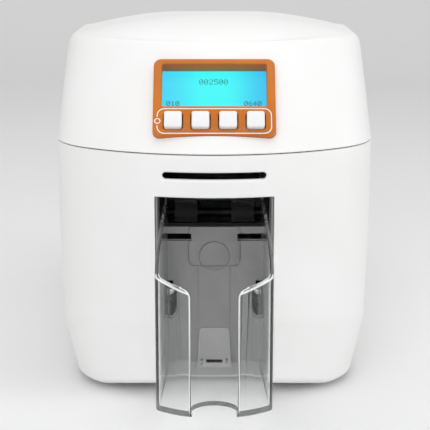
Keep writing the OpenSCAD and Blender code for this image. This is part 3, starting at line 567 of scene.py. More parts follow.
def dye_film(name, front, length):
    """Thin glossy film with a yellow, a magenta, a cyan and a resin black panel, one after another."""
    m, tree, place = new_material(name)
    d = node(tree, "SeparateXYZ", None, {0: place}).outputs[1]
    panels = node(tree, "ValToRGB", None, {0: ramp(tree, d, front, front + length, 0.0, 1.0)})
    stops = panels.color_ramp.elements
    panels.color_ramp.interpolation = "CONSTANT"
    for k, code in enumerate(("#B89A1E", "#8E2350", "#1E5C86", "#17161A")):
        e = stops[k] if k < 2 else stops.new(k / 4)
        e.position = k / 4
        e.color = linear(code)
    wrinkle = noise(tree, place, 7.0, 2.0)
    return principled(m, tree, {
        "Base Color": panels.outputs[0], "IOR": 1.6, "Coat Weight": 0.6, "Coat Roughness": 0.05,
        "Roughness": between(tree, wrinkle, 0.18, 0.3), "Normal": relief(tree, wrinkle, 0.08)})


def wound_film(name, colour, shift, pitch):
    """Wound film: fine lines, pitch millimetres apart, that show the layers on a roll's side."""
    m, tree, place = new_material(name)
    lines = node(tree, "TexWave", {"wave_type": "RINGS", "rings_direction": "X"},
                 {"Vector": place, "Scale": 0.31 / pitch, "Distortion": 0.4}).outputs["Fac"]
    slow = noise(tree, place, 11.0)
    tone = drift(tree, slow, colour, shift)
    return principled(m, tree, {
        "Base Color": tone, "IOR": 1.6, "Coat Weight": 0.4, "Coat Roughness": 0.12,
        "Roughness": between(tree, lines, 0.25, 0.4), "Normal": relief(tree, lines, 0.03)})


def circuit_board():
    """Green solder mask over copper tracks and pads on glass epoxy.

    The tracks are the joints of a brick pattern, 6 by 2 mm, raised by the copper's 0.05 mm; round
    pads about 1 mm wide lie between them.
    """
    m, tree, place = new_material("FR-4 board, green solder mask")
    cell = node(tree, "TexBrick", {"offset": 0.5, "squash": 1.0}, {
        "Vector": place, "Scale": 0.4, "Mortar Size": 0.07, "Mortar Smooth": 0.1, "Brick Width": 2.4,
        "Row Height": 0.8, "Color1": linear("#0E4A2A"), "Color2": linear("#115232"),
        "Mortar": linear("#2C7A4C")})
    pads = node(tree, "TexVoronoi", {"feature": "F1"}, {"Vector": place, "Scale": 0.2}).outputs["Distance"]
    near = ramp(tree, pads, 0.13, 0.1, 0.0, 1.0)
    tone = blended(tree, near, cell.outputs["Color"], linear("#C9C4B2"))
    return principled(m, tree, {
        "Base Color": tone, "IOR": 1.55, "Roughness": 0.32,
        "Normal": relief(tree, cell.outputs["Fac"], 0.05)})


# Casing

def inset_at(z):
    """Inset of the base wall at height z near the nose, by straight steps with a soft crease."""
    return np.interp(z, [0, 12.5, 12.6, 14.9, 18.2, 51.0, 55.5, 60.4, 110.0, 200.0],
                     [30, 20, 13.2, 10.4, 9.2, 2.78, 2.08, 1.73, 0.0, 0.0])


def front_d(x, z):
    """Distance behind the nose of the base's outer skin: the nose arc, or the rising underside."""
    i = inset_at(z)
    arc = NOSE_R - np.sqrt(np.maximum((NOSE_R - i) ** 2 - x ** 2, 1))
    return np.maximum(arc, UNDER_D - (z - FOOT_H) / UNDER_RISE)


def onto_rectangle(outline, half_x, d):
    """Outline cast from its middle onto a rectangle, the nearest points drawn to its corners."""
    mid = np.array([0.0, (d[0] + d[1]) / 2])
    v = outline - mid
    half = np.array([half_x, (d[1] - d[0]) / 2])
    out = mid + v * np.min(half / np.maximum(np.abs(v), 1e-9), axis=1)[:, None]
    for sx in (-1, 1):
        for sd in (-1, 1):
            corner = mid + half * [sx, sd]
            out[np.argmin(np.hypot(*(out - corner).T))] = corner
    return out


def bezier(a, b, c, n):
    """n points of the quadratic curve from a to c that heads for b, with arrays as points."""
    t = (np.arange(n) / (n - 1))[:, None, None]
    return (1 - t) ** 2 * a + 2 * t * (1 - t) * b + t ** 2 * c


def base_wall(t, low):
    """Rows of the base wall from the underside up, drawn in by t and raised by low.

    The bottom edge is a quarter round, the band leans straight out to the
    crease, which a short curve softens, and the wall above eases upright at 110 mm.
    """
    rows = []
    for a in np.linspace(0, math.pi / 2, 7):
        o = plan(BAND_IN + EDGE_R * (1 - math.sin(a)) + t)
        rows.append(ring(o, under(o[:, 1]) + low + EDGE_R * (1 - math.cos(a))))
    o = plan(BAND_IN + t)
    band = ring(o, under(o[:, 1]) + low + EDGE_R)
    c = plan(CREASE_IN + t)
    bend = ring(c, crease(c[:, 1]))
    u = plan(t)
    upright_ring = ring(u, 110.0)
    rise = np.maximum(bend[:, 2] - band[:, 2], 2)[:, None]
    before = bend + (band - bend) * np.minimum(0.3, 1.5 / rise)
    after = bend + (upright_ring - bend) * 0.03
    rows += list(fill(band, before, 3))
    rows += list(bezier(before, bend, after, 6))
    rows += list(fill(after, upright_ring, 5))
    rows.append(upright_ring)
    return rows


def vent_loop(side):
    """Outline of a vent across the top of the recess, on the side -1 or 1."""
    return loop_2d(17.8, 4.9, 0.3, 2, side * 23.4, 99.2)


def base_casing():
    """White base: a closed skin from the pan opening round the outside, over the rim and back inside."""
    o = plan(BAND_IN + EDGE_R)
    edge = onto_rectangle(o, 73.6, (PAN_D[0], PAN_D[1]))
    outer = base_wall(0, 0)
    steps = [edge + (o - edge) * k for k in (0, 0.35, 0.7)]
    bottom = [ring(p, under(p[:, 1])) for p in steps]
    rim = [ring(plan(EDGE * (1 - math.cos(a))), BASE_TOP - EDGE * (1 - math.sin(a)))
           for a in np.linspace(0, math.pi / 2, 5)]
    top = [ring(plan(WALL - 0.3), BASE_TOP), ring(plan(WALL), BASE_TOP - 0.3)]
    inner = base_wall(WALL, 3)[::-1]
    rows = bottom + outer + [ring(plan(0), 135.0)] + rim + top + inner + [ring(edge, FOOT_H + 3)]
    casing = surface(np.array(rows), closed_v=True)
    obj = build("base_casing", [casing])
    x = np.linspace(-RECESS_HALF - WALL, RECESS_HALF + WALL, 21)
    rows = []
    for z in np.r_[np.arange(6.0, 24, 2), np.arange(26.0, 130, 8), RECESS_TOP + WALL]:
        front = np.c_[x, front_d(x, z) + 1.3]
        back = np.array([[x[-1], RECESS_BACK + WALL], [x[0], RECESS_BACK + WALL]])
        rows.append(ring(np.concatenate([front, back]), z))
    carve(obj, [surface(rows, caps=("low", "high"))], "UNION")
    low = -20.0
    recess = through_skin(2 * RECESS_HALF, RECESS_TOP - low, 0.6, 0, (RECESS_TOP + low) / 2,
                          front_d_above, RECESS_BACK, 0.9, 5)
    slot = through_skin(2 * SLOT_HALF, SLOT_H, SLOT_H / 2 - 1e-3, 0, PATH_Z, front_d, 20, 1.5, 12)
    mouth = prism(loop_2d(61.7, 24.1, 0.5, 3, 0, 118.05), 40, 50, facing)
    ports = prism(loop_2d(96, 26, 1.5, 5, 0, 33), BODY_L - 8, BODY_L + 3, facing)
    cutters = [recess, slot, mouth, ports]
    for side in (-1, 1):
        cutters.append(prism(loop_2d(5.4, 24, 0.3, 2, side * (TAB_X - 1.1), TAB_Z), 40, 50, facing))
        cutters.append(prism(vent_loop(side), 40, 50, facing))
    for k in range(7):
        cutters.append(prism(loop_2d(3.2, 40, 1.59, 6, BODY_L - 98.5 + k * 8, 80), *ACROSS, sideways))
    return carve(obj, cutters)


def front_d_above(x, z):
    """Outer skin of the base, followed down to the underside and level below it."""
    return front_d(x, np.maximum(z, 14.0))


def lid_wall(t, rim):
    """Rows of the lid from its rim up and over to the top of the crown, drawn in by t.

    The front leans back while each level outline keeps its arcs; the roof's rows shrink towards
    a point under the crown and take the crown's height. Corner cutting softens the shoulder.
    """
    rows = []
    for z in (LID_BOTTOM + rim, 166.0, 178.0, 190.0, 202.0, 211.0, SHOULDER_Z - t * 0.6):
        i = np.interp(z, [SEAM_Z, 190, SHOULDER_Z], [0, 2.2, 4.4]) + t
        rows.append(ring(plan(i, lean_at(z) - (i - t), LID_L, LID_REAR_R), z))
    for i, z in ((5.4, 218.8), (7.4, 221.2)):
        rows.append(ring(plan(i + t, lean_at(z) - i, LID_L, 9.0 + i), z - t * 0.7))
    for f in (1.0, 0.93, 0.84, 0.73, 0.62, 0.5, 0.38, 0.26, 0.14, 0.03):
        o = plan(10 + t, 40.0, LID_L, 16.0)
        o = np.c_[o[:, 0] * f, 125 + (o[:, 1] - 125) * f]
        rows.append(ring(o, crown(o[:, 0], o[:, 1]) - t))
    return soften(rows, 2)


def lid_casing():
    """White lid: outer skin from the crown down, over the rounded rim, and back up inside."""
    outer = lid_wall(0, 0.9)[::-1]
    rim = [ring(plan(EDGE * (1 - math.cos(a)), 0, LID_L, LID_REAR_R), LID_BOTTOM + EDGE * (1 - math.sin(a)))
           for a in np.linspace(0.15, math.pi / 2, 5)]
    rim.append(ring(plan(WALL, 0, LID_L, LID_REAR_R), LID_BOTTOM))
    rows = list(outer) + rim + list(lid_wall(WALL, 0.6))
    obj = build("lid_casing", [surface(np.array(rows), caps=("low", "high"))])
    cutters = [
        block((-HALF_W + WALL, HALF_W - WALL), (LID_L - WALL - 3, LID_L + 1), (LID_BOTTOM - 1, 206)),
        prism(loop_2d(98, 16.2, 2, 5, 0, 211.9), 192, LID_L + 2, facing),
        prism(loop_2d(BEZEL_W + 0.4, BEZEL_H + 0.4, 4.8, 10), -20, 20, on_slope)]
    for side in (-1, 1):
        cutters.append(prism(loop_2d(12.8, 10.8, 1.6, 6, CATCH_D, CATCH_Z), side * 88, side * 112, sideways))
    return carve(obj, cutters)


def feeder_casing():
    """White feeder tower: soft top edges, a cut front, and the well for the blank cards.

    Its outline is the rear half of the base outline; the top edge is a quarter round 8 mm wide.
    """
    def wall(t, low):
        top = FEEDER_TOP - t
        a = np.linspace(0, math.pi / 2, 7)
        rows = [ring(plan(t), low), ring(plan(t), 180.0)]
        rows += [ring(plan(t + 8 * (1 - math.cos(k))), top - 8 * (1 - math.sin(k))) for k in a]
        return surface(np.array(rows), caps=("low", "high"))
    obj = build("feeder_casing", [wall(0, LID_BOTTOM)])
    hollow = build("cutter", [wall(WALL, LID_BOTTOM - 1)])
    carve(hollow, [block(ACROSS, (-5, TOWER_D + WALL), (0, 250))])
    carve(obj, [hollow, block(ACROSS, (-5, TOWER_D), (0, 250))])
    bevel(obj, 0.5, 50)
    x, d = WELL_HALF, (WELL_FRONT, WELL_BACK)
    box = loop_2d(2 * x + 4.8, d[1] - d[0] + 4.8, 2, 4, 0, sum(d) / 2)
    parts = [prism(box, PATH_Z + 2.4, FEEDER_TOP - 0.5, upright)]
    a = np.linspace(0, math.pi, 17)
    lug = np.concatenate([[[-3.2, -4.4], [3.2, -4.4]], np.c_[np.cos(a), np.sin(a)] * 3.2]) + COVER_PIN
    parts += [prism(lug, low, low + 6, sideways) for low in (-28, 22)]
    carve(obj, parts, "UNION")
    well = prism(loop_2d(2 * x, d[1] - d[0], 1.2, 4, 0, sum(d) / 2), PATH_Z, FEEDER_TOP + 2, upright)
    return carve(obj, [well, prism(disc(1.5, 24, *COVER_PIN), -30, 30, sideways)])


# Hopper, panel and small pieces

def hopper_plan(inset, end):
    """Plan outline of the hopper: a bowed front, two corner arcs and straight sides back to end."""
    bow, corner, half, back = 51.0, 5.0, 34.0, 31.1
    centre = bow - HOPPER_OUT
    cx = half - corner
    cd = centre - math.sqrt((bow - corner) ** 2 - cx ** 2)
    join = math.atan2(cx, centre - cd)
    a = join * (np.arange(16) + 0.5) / 16
    front = np.c_[(bow - inset) * np.sin(a), centre - (bow - inset) * np.cos(a)]
    a = join + (math.pi / 2 - join) * np.arange(13) / 12
    arc = np.c_[cx + (corner - inset) * np.sin(a), cd - (corner - inset) * np.cos(a)]
    side = np.linspace([half - inset, cd], [back - inset, end], 9)[1:]
    right = np.concatenate([front, arc, side])
    return np.concatenate([right[::-1] * [-1, 1], right])


def hopper_clear():
    """Clear output hopper: one moulded tray with sloping walls, a front gap and a thumb notch.

    Material slot 1 goes to the rounded rims in front of the nose, for their painted highlight, slot 2 to the
    tray's floor, for its painted brightness.
    """
    obj = build("hopper_clear", [prism(hopper_plan(0, HOPPER_END), HOPPER_Z, 125, upright)])
    inside = prism(hopper_plan(HOPPER_T, HOPPER_END + 7), HOPPER_FLOOR, 140, upright)
    top = soften(np.array([[39.0, 124.6], [28, 123.6], [-22, 109.6], [-32.6, 105], [-36.4, 99],
                           [-38.2, 95.6], [-40.5, 94.3], [-45.2, 91.8], [-48.7, 89],
                           [-54, 84.3]])[:, None, :], 2)[:, 0]
    over = np.concatenate([[[46, 124.6]], top, [[-54, 140], [46, 140]]])
    a = np.linspace(0, math.pi / 2, 9)
    flare = np.concatenate([[[13.7, HOPPER_FLOOR]], np.c_[19.2 - 5.5 * np.cos(a), 85.5 + 5.5 * np.sin(a)],
                            [[19.2, 140]]])
    gap = prism(np.concatenate([flare, flare[::-1] * [-1, 1]]), -60, -38, facing)
    a = np.linspace(0, math.pi, 33)
    notch = np.concatenate([np.c_[13.8 * np.cos(a), -45.3 + 13.8 * np.sin(a)],
                            [[-12.7, -45.3], [-12.7, -54], [12.7, -54], [12.7, -45.3]]])
    carve(obj, [inside, prism(over, -40, 40, sideways), gap, prism(notch, 10, 20, upright)])
    tabs = [prism(loop_2d(HOPPER_T, 9, 0.01, 1, s * TAB_X, 41.5), 48, 69, upright) for s in (-1, 1)]
    carve(obj, tabs, "UNION")
    for _ in range(2):
        obj.data.materials.append(None)
    bevel(obj, 0.7, 35, 16, 1, False)
    faces = obj.data.polygons
    at = values(faces, "center", 3) / MM - [0, NOSE_Y, 0]
    up = values(faces, "normal", 3)[:, 2]
    # Slot 1 stays on the bevel faces in front of the nose for the painted rim highlight; slot 2 goes to the
    # level floor for the painted floor brightness
    slots = values(faces, "material_index") * ((at[:, 1] < -37.5) & (at[:, 2] > HOPPER_FLOOR + 0.5))
    slots[(up > 0.98) & (np.abs(at[:, 2] - HOPPER_FLOOR) < 0.3)] = 2
    faces.foreach_set("material_index", slots)
    return obj


def groove(outline_at, width, low, high, place):
    """Cutter for a groove along a closed outline: outline_at gives the outline grown by a size."""
    a, b = outline_at(width / 2), outline_at(-width / 2)
    v, f = surface([ring(a, low), ring(a, high), ring(b, high), ring(b, low)], closed_v=True)
    return place(v), f


def hole(w, h, r, cx, cy, top, low, edge, place):
    """Cutter for an opening in a flat face, its rim flared like a quarter round of radius edge."""
    rows = [(edge * (1 - math.sin(a)), top - edge * (1 - math.cos(a)))
            for a in np.linspace(0, math.radians(82), 6)]
    rows = [(edge * 1.4, top + edge)] + rows + [(0.0, low)]
    grid = [ring(loop_2d(w + 2 * g, h + 2 * g, r + g, 8, cx, cy), z) for g, z in rows]
    v, f = surface(grid, caps=("low", "high"))
    return place(v), f


def bezel_piece():
    """Orange panel frame: a thick plate with a quarter round edge, a window and four key holes."""
    obj = build("panel_bezel", [rounded((BEZEL_W, BEZEL_H, 4.6, 10), -8, 1, 0.9, on_slope)])
    cutters = [hole(63.3, 28.8, 1.5, 0, WINDOW_Y, 1, -10, 0.5, on_slope)]
    for k in range(4):
        cutters.append(hole(12.0, 11.6, 1.9, KEY_X[k], KEYS_Y, 1, -10, 0.3, on_slope))
    return carve(obj, cutters)


def key_piece(k, domed):
    """Key cap: flange, straight skirt, quarter round edge and a top that rises by a parabola."""
    rows = [(13.2, 1.5, -9.6), (13.2, 1.5, -8.4), (10.6, 1.5, -8.4), (10.6, 1.5, 3.3)]
    rows += [(10.6 - 2.2 * (1 - math.cos(a)), 1.5, 3.3 + 1.1 * math.sin(a) * 0.8)
             for a in np.linspace(0.3, math.pi / 2, 5)]
    rows += [(8.4 * f, 1.5 * f, 4.18 + domed * (1 - f * f)) for f in (0.85, 0.6, 0.3, 0.08)]
    grid = [ring(loop_2d(s, s, min(r, s * 0.49), 6, KEY_X[k], KEYS_Y), z) for s, r, z in rows]
    v, f = surface(grid, caps=("low", "high"))
    return build("key_cap_%d" % (k + 1), [(on_slope(v), f)])


DIGITS = {"0": "0E11131519110E", "1": "040C040404040E", "2": "0E11010204081F",
          "4": "02060A121F0202", "5": "1F101E0101110E", "6": "0608101E11110E"}


def digit_dots(text, x, y, pitch):
    """Lower left corners of the dots of a row of digits, five by seven to each, on the display."""
    dots = []
    for k, digit in enumerate(text):
        bits = np.array([[int(DIGITS[digit][2 * r:2 * r + 2], 16) >> (4 - c) & 1 for c in range(5)]
                         for r in range(7)])
        r, c = np.nonzero(bits)
        dots.append(np.c_[x + (k * 6 + c) * pitch, y - r * pitch])
    return np.concatenate(dots)


def display_numbers():
    """Plain numbers on the display: each dot is a flat square prism standing on the screen."""
    at = np.concatenate([digit_dots("002500", -9.2, WINDOW_Y + 8.2, 0.5),
                         digit_dots("010", -29.0, WINDOW_Y - 6.7, 0.46),
                         digit_dots("0640", 18.0, WINDOW_Y - 6.7, 0.46)])
    square = np.array([[0, 0], [1, 0], [1, 1], [0, 1.0]]) * 0.42
    base = (at[:, None, :] + square).reshape(-1, 2)
    n = len(at)
    ends = [ring(base, z).reshape(n, 4, 3) for z in (-8.25, -8.1)]
    verts = np.concatenate(ends, 1).reshape(-1, 3)
    cube = np.array([[3, 2, 1, 0], [4, 5, 6, 7], [0, 1, 5, 4], [1, 2, 6, 5], [2, 3, 7, 6], [3, 0, 4, 7]])
    faces = (np.arange(n)[:, None, None] * 8 + cube).reshape(-1, 4).tolist()
    return build("display_numbers", [(on_slope(verts), faces)])


def recess_liner():
    """Grey back of the recess with its cheeks, tongue, round pad and the grooves round them."""
    half = RECESS_HALF - 0.4
    lip = NOSE_R - math.sqrt(NOSE_R ** 2 - half ** 2) + 2.5
    cheek = np.array([[40.4, 20], [lip + BAND_IN, 20], [lip + CREASE_IN, 54.3], [lip, 110], [lip, 132.3],
                      [40.4, 132.3]])
    parts = [prism(cheek, s * half, s * (half - 1), sideways) for s in (-1, 1)]
    parts.append(prism(loop_2d(32, 26, 4, 6, 0, 94), 39.1, 40.4, facing))
    obj = build("recess_liner", [block((-half, half), (40, 42.6), (6, 106))])
    carve(obj, parts, "UNION")
    cutters = [
        prism(loop_2d(40, 10, 0.1, 1, 0, 111), 30, 41.0, facing),
        groove(lambda grow: disc(9.6 + grow, 64, 0, 87), 0.5, 38, 40.3, facing),
        groove(lambda grow: loop_2d(32.6 + 2 * grow, 26.6 + 2 * grow, 4.3 + grow, 6, 0, 94),
               0.6, 38, 40.7, facing)]
    for side in (-1, 1):
        cutters.append(prism(vent_loop(side), 38, 44, facing))
        cutters.append(prism(loop_2d(5.8, 25, 0.3, 2, side * (TAB_X - 1), TAB_Z), 38, 44, facing))
        cutters.append(prism(loop_2d(0.5, 38, 0.1, 1, side * 10.3, 61), 38, 40.4, facing))
    carve(obj, cutters)
    return bevel(obj, 0.25, 50)


def foot_panel():
    """Raised cover at the foot of the recess: a lip round a sunk field, four holes and a tray."""
    edge = np.array([[-11.2, 11.8], [11.2, 11.8], [9.6, 37.6], [9.2, 39.2], [8.0, 40.0], [-8.0, 40.0],
                     [-9.2, 39.2], [-9.6, 37.6]])
    obj = build("foot_panel", [prism(edge, 38.4, 40.3, facing)])
    cutters = [prism((edge - [0, 27]) * [0.88, 0.93] + [0, 26.6], 37, 39.1, facing),
               prism(loop_2d(10.6, 4.3, 0.3, 3, 0, 16.4), 38, 40.1, facing)]
    cutters += [prism(disc(0.95, 16, x, z), 38, 44, facing) for x in (-8.0, 8.0) for z in (14.4, 18.4)]
    carve(obj, cutters)
    return bevel(obj, 0.2, 50)


def dark_window():
    """Dark sensor window in the foot panel: a thin plate with rounded rims."""
    body = rounded((10.2, 3.9, 0.5, 4, 0, 16.4), 39.3, 40.0, 0.15, facing, 0.0)
    return build("sensor_window", [body])


def rubber_foot_set():
    """Four feet: each a disc with a rounded rim and a dished underside, its profile turned."""
    profile = [(1.0, 0.8), (5.6, 0.8), (6.4, 0.2), (7.4, 0.0), (8.4, 0.0), (8.85, 0.25), (9.0, 0.8),
               (9.0, 4.0), (1.0, 4.0)]
    parts = []
    for side in (-1, 1):
        for d in (PAN_D[0] + 10, PAN_D[1] - 12):
            rows = [ring(disc(r, 48, side * 53.6, d), z) for r, z in profile]
            parts.append(surface(rows, caps=("low", "high")))
    return build("rubber_foot_set", parts)


def feeder_cover_plate():
    """Cover over the card well: a rounded plate with a finger notch and a hinge knuckle."""
    d = (WELL_FRONT - 8, BODY_L - 16.6)
    plate = rounded((76, d[1] - d[0], 3, 6, 0, sum(d) / 2), FEEDER_TOP + 0.4, FEEDER_TOP + 3, 0.8, upright)
    obj = build("feeder_cover_plate", [plate])
    web = np.array([[d[1] - 2, FEEDER_TOP + 1.0], [COVER_PIN[0], FEEDER_TOP + 0.9],
                    [COVER_PIN[0], FEEDER_TOP + 3], [d[1] - 2, FEEDER_TOP + 3]])
    knuckle = disc(3.2, 40, *COVER_PIN)
    carve(obj, [prism(o, -21.6, 21.6, sideways) for o in (web, knuckle)], "UNION")
    bore = prism(disc(1.55, 40, *COVER_PIN), -60, 60, sideways)
    return carve(obj, [bore, hole(14, 14, 6.99, 0, d[0], FEEDER_TOP + 3, FEEDER_TOP, 0.8, upright)])


def latch_piece(side):
    """Lid catch: a push face with three grip grooves, an arm down and a nose at its foot."""
    face = rounded((12, 10, 1.4, 5, CATCH_D, CATCH_Z), 77, 98.5, 0.6, sideways, 0.9)
    obj = build("latch_%s_key" % ("left" if side < 0 else "right"), [face])
    along = (CATCH_D - 6, CATCH_D + 6)
    carve(obj, [block((77, 81), along, (153, 183)), block((80.9, 85), along, (153, 156))], "UNION")
    carve(obj, [prism(loop_2d(7.6, 0.9, 0.4, 4, CATCH_D, CATCH_Z + k * 2.4), 97.9, 101, sideways)
                for k in (-1, 0, 1)])
    if side < 0:
        mirrored = values(obj.data.vertices, "co", 3) * np.float32([-1, 1, 1])
        obj.data.vertices.foreach_set("co", mirrored.ravel())
        obj.data.flip_normals()
        finish_mesh(obj.data, SHARP)
    return obj


def weight_plate():
    """Weight on the card stack: a rounded plate with a grip rib."""
    d = (WELL_FRONT + 0.6, WELL_BACK - 0.6)
    long, mid = d[1] - d[0], sum(d) / 2
    plate = rounded((54.4, long, 1.2, 4, 0, mid), PATH_Z + 0.4, PATH_Z + 7.4, 0.8, upright, 0.5)
    rib = rounded((4, long - 60, 1.5, 5, 0, mid), PATH_Z + 7, PATH_Z + 16.4, 0.6, upright)
    obj = build("weight_plate", [plate])
    return carve(obj, [rib], "UNION")


def cyclorama():
    """Pale studio floor that curves up behind: level, then a quarter circle of radius 700 mm."""
    a = np.linspace(0, math.pi / 2, 24)
    profile = np.concatenate([[[-2500.0, 0.0]], np.c_[1500 + 700 * np.sin(a), 700 * (1 - np.cos(a))],
                              [[2200.0, 2600.0]]])
    x = np.linspace(-3000, 3000, 13)
    rows = np.stack([np.c_[x, np.full(13, d), np.full(13, z)] for d, z in profile])
    verts, faces = surface(rows, closed_u=False)
    return add_mesh("studio_floor", verts * MM, faces, 60.0)


def painted_floor(colour):
    """Matt painted board: even, with a very slow drift in tone."""
    m, tree, place = new_material("studio board, matt emulsion")
    slow = noise(tree, place, 900.0, 1.0)
    tone = drift(tree, slow, colour, "#ECECEC")
    return principled(m, tree, {
        "Base Color": tone, "Roughness": 0.9, "IOR": 1.4, "Specular IOR Level": 0.1})


def soft_lamp(name, at, aim, size, watts):
    """Square soft box at a place in millimetres, turned to a point."""
    lamp = bpy.data.lights.new(name, "AREA")
    lamp.shape = "SQUARE"
    lamp.size = size * MM
    lamp.energy = watts
    obj = add_object(name, lamp)
    from_v, to_v = np.array(at) * MM, np.array(aim) * MM
    obj.location = from_v.tolist()
    obj.rotation_mode = "QUATERNION"
    obj.rotation_quaternion = Vector((from_v - to_v).tolist()).to_track_quat("Z", "Y")
    return obj


def studio_world(strength, shown):
    """Even studio light; what the camera, gloss and clear plastic see of it is a pale backdrop."""
    world = bpy.data.worlds.new("studio")
    world.use_nodes = True
    tree = world.node_tree
    tree.nodes.clear()
    path = node(tree, "LightPath")
    seen = node(tree, "Math", {"operation": "MAXIMUM"},
                {0: path.outputs["Is Camera Ray"], 1: path.outputs["Is Glossy Ray"]})
    seen = node(tree, "Math", {"operation": "MAXIMUM"},
                {0: seen.outputs[0], 1: path.outputs["Is Transmission Ray"]})
    level = ramp(tree, seen.outputs[0], 0.0, 1.0, strength, shown)
    back = node(tree, "Background", None, {"Color": (1, 1, 1, 1), "Strength": level})
    node(tree, "OutputWorld", None, {"Surface": back.outputs[0]})
    bpy.context.scene.world = world


def place_piece(obj, body, nodes, finish):
    """Gives a piece its finish, ties it to the body, and hides the CAD nodes that it stands for."""
    obj.data.materials.clear()
    obj.data.materials.append(finish)
    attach(obj, body)
    if nodes:
        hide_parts(*nodes)


def dress(finish, *names):
    """Puts a material in every slot of the named CAD nodes."""
    for name in names:
        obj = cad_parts[name]
        if not obj.material_slots:
            obj.data.materials.append(finish)
        for s in obj.material_slots:
            s.material = finish


def white_abs():
    """White ABS, spark eroded: a satin skin whose fine grain scatters highlights."""
    name = "white ABS, spark eroded"
    shell = bpy.context.scene.printer_finish.shell
    return bpy.data.materials.get(name) or plastic(name, shell, "#EFEFEE", 0.36, 0.55, 0.012, 60.0)


def tint(name, text, code):
    """Colour property that starts at an sRGB hex code."""
    return FloatVectorProperty(name=name, description=text, size=4, subtype="COLOR", min=0, max=1,
                               default=linear(code))


def span(name, text, metres):
    """Length property."""
    return FloatProperty(name=name, description=text, default=metres, min=0, subtype="DISTANCE",
                         unit="LENGTH")


def power(name, text, watts):
    """Lamp power property."""
    return FloatProperty(name=name, description=text, default=watts, min=0, subtype="POWER",
                         unit="POWER")


class PrinterFinish(bpy.types.PropertyGroup):
    """Colours that a user would change."""
    shell: tint("Shell", "Colour of the white casing", "#F3F3F3")
    bezel: tint("Bezel", "Colour of the panel frame", "#CC7211")
    keys: tint("Keys", "Colour of the key caps", "#EDEDEE")
    liner: tint("Liner", "Colour of the grey recess", "#8E8E8E")
    board: tint("Floor", "Colour of the studio floor", "#F0F0F0")


class PrinterStudio(bpy.types.PropertyGroup):
    """Sizes and levels that a user would change."""
    key_dome: span("Key dome", "Rise of a key cap's top", 0.25 * MM)
    lens: FloatProperty(name="Lens", description="Focal length for a 36 mm sensor", default=106.03,
                        subtype="DISTANCE_CAMERA")
    back: span("Camera distance", "Camera in front of the nose", 0.733)
    high: span("Camera height", "Camera above the table", 0.291)
    pitch: FloatProperty(name="Camera pitch", description="Camera tilt below level",
                         default=math.radians(12.93), subtype="ANGLE", unit="ROTATION")
    ambient: FloatProperty(name="Ambient", description="Strength of the even light", default=0.62, min=0)
    front: power("Front lamp", "Power of the soft box in front", 6.9)
    side: power("Side lamp", "Power of the soft box on the right", 3.0)
    top: power("Top lamp", "Power of the soft box above", 6.0)


class PRINTER_OT_base(bpy.types.Operator):
    """Makes the white base with its recess, hand feed slot, vents and port opening"""
    bl_idname = "printer.base"
    bl_label = "Base casing"

    def execute(self, context):
        place_piece(base_casing(), "base", ["base_shell"], white_abs())
        return {"FINISHED"}


class PRINTER_OT_lid(bpy.types.Operator):
    """Makes the white lid with its leaning front and arched crown"""
    bl_idname = "printer.lid"
    bl_label = "Lid casing"

    def execute(self, context):
        place_piece(lid_casing(), "lid", ["lid_shell"], white_abs())
        return {"FINISHED"}


class PRINTER_OT_feeder(bpy.types.Operator):
    """Makes the card feeder tower, its cover and the weight on the cards"""
    bl_idname = "printer.feeder"
    bl_label = "Card feeder"

    def execute(self, context):
        place_piece(feeder_casing(), "base", ["feeder_housing"], white_abs())
        # Light grey ABS with a finer grain than the casing, so that it looks a little smoother
        grey = plastic("light grey ABS, fine grain", "#D9DADB", "#D3D4D6", 0.4, 0.4, 0.01)
        place_piece(feeder_cover_plate(), "feeder_lid", ["feeder_cover"], grey)
        # Glass filled nylon: dark, matt and slightly blotchy where the fibres come to the skin
        dark = plastic("dark glass filled nylon, moulded", "#2B2D31", "#34363A", 0.55, 0.5, 0.02, 12.0)
        place_piece(weight_plate(), "weight", ["card_weight"], dark)
        return {"FINISHED"}


class PRINTER_OT_hopper(bpy.types.Operator):
    """Makes the clear output hopper"""
    bl_idname = "printer.hopper"
    bl_label = "Output hopper"

    def execute(self, context):
        # Acrylic: the walls show what is behind them, a little greyer
        walls = clear_acrylic("clear acrylic, injection moulded", 0.975, "#FBFCFC", 0.01)
        # Painted highlight: a much less clear, white copy of the acrylic on the rounded rims stands in for
        # the light that runs in the walls and comes out there
        rims = clear_acrylic("clear acrylic, light in the edges", 0.25, "#FFFFFF", 0.1)
        # Painted brightness: a milkier, whiter copy of the acrylic on the tray's floor makes it look
        # lighter, standing in for the light it catches
        tray = clear_acrylic("clear acrylic, tray floor with painted brightness", 0.84, "#FFFFFF", 0.06)
        obj = hopper_clear()
        # Clear plastic lets the lamps through, so it leaves the floor under it bright
        obj.visible_shadow = False
        slots = values(obj.data.polygons, "material_index")
        place_piece(obj, "hopper", ["output_hopper"], walls)
        for finish in (rims, tray):
            obj.data.materials.append(finish)
        obj.data.polygons.foreach_set("material_index", slots)
        return {"FINISHED"}


class PRINTER_OT_panel(bpy.types.Operator):
    """Makes the control panel: orange frame, four keys and the numbers on the display"""
    bl_idname = "printer.panel"
    bl_label = "Control panel"

    def execute(self, context):
        p = context.scene.printer_finish
        # Orange ABS straight from a polished tool: a clear skin with sharp reflections
        orange = plastic("orange ABS, polished tool", p.bezel, "#BC6816", 0.3, 0.5, 0.004, 25.0,
                         0.1, 0.25)
        place_piece(bezel_piece(), "lid", ["lcd_bezel"], orange)
        # White silk ABS: the caps are rubbed a little by fingers, so their gloss is uneven
        caps = plastic("white ABS key caps, satin", p.keys, "#E9E9EB", 0.42, 0.3, 0.008, 5.0)
        dome = context.scene.printer_studio.key_dome / MM
        for k in range(4):
            place_piece(key_piece(k, dome), "key_%d" % (k + 1), ["button_%d" % (k + 1)], caps)
        # The unlit cells of the display read as a deep teal
        cells = plastic("dark liquid crystal cells", "#0B4650", "#0E4E58", 0.4, 0.4, 0.002, 6.0)
        place_piece(display_numbers(), "lid", [], cells)
        return {"FINISHED"}


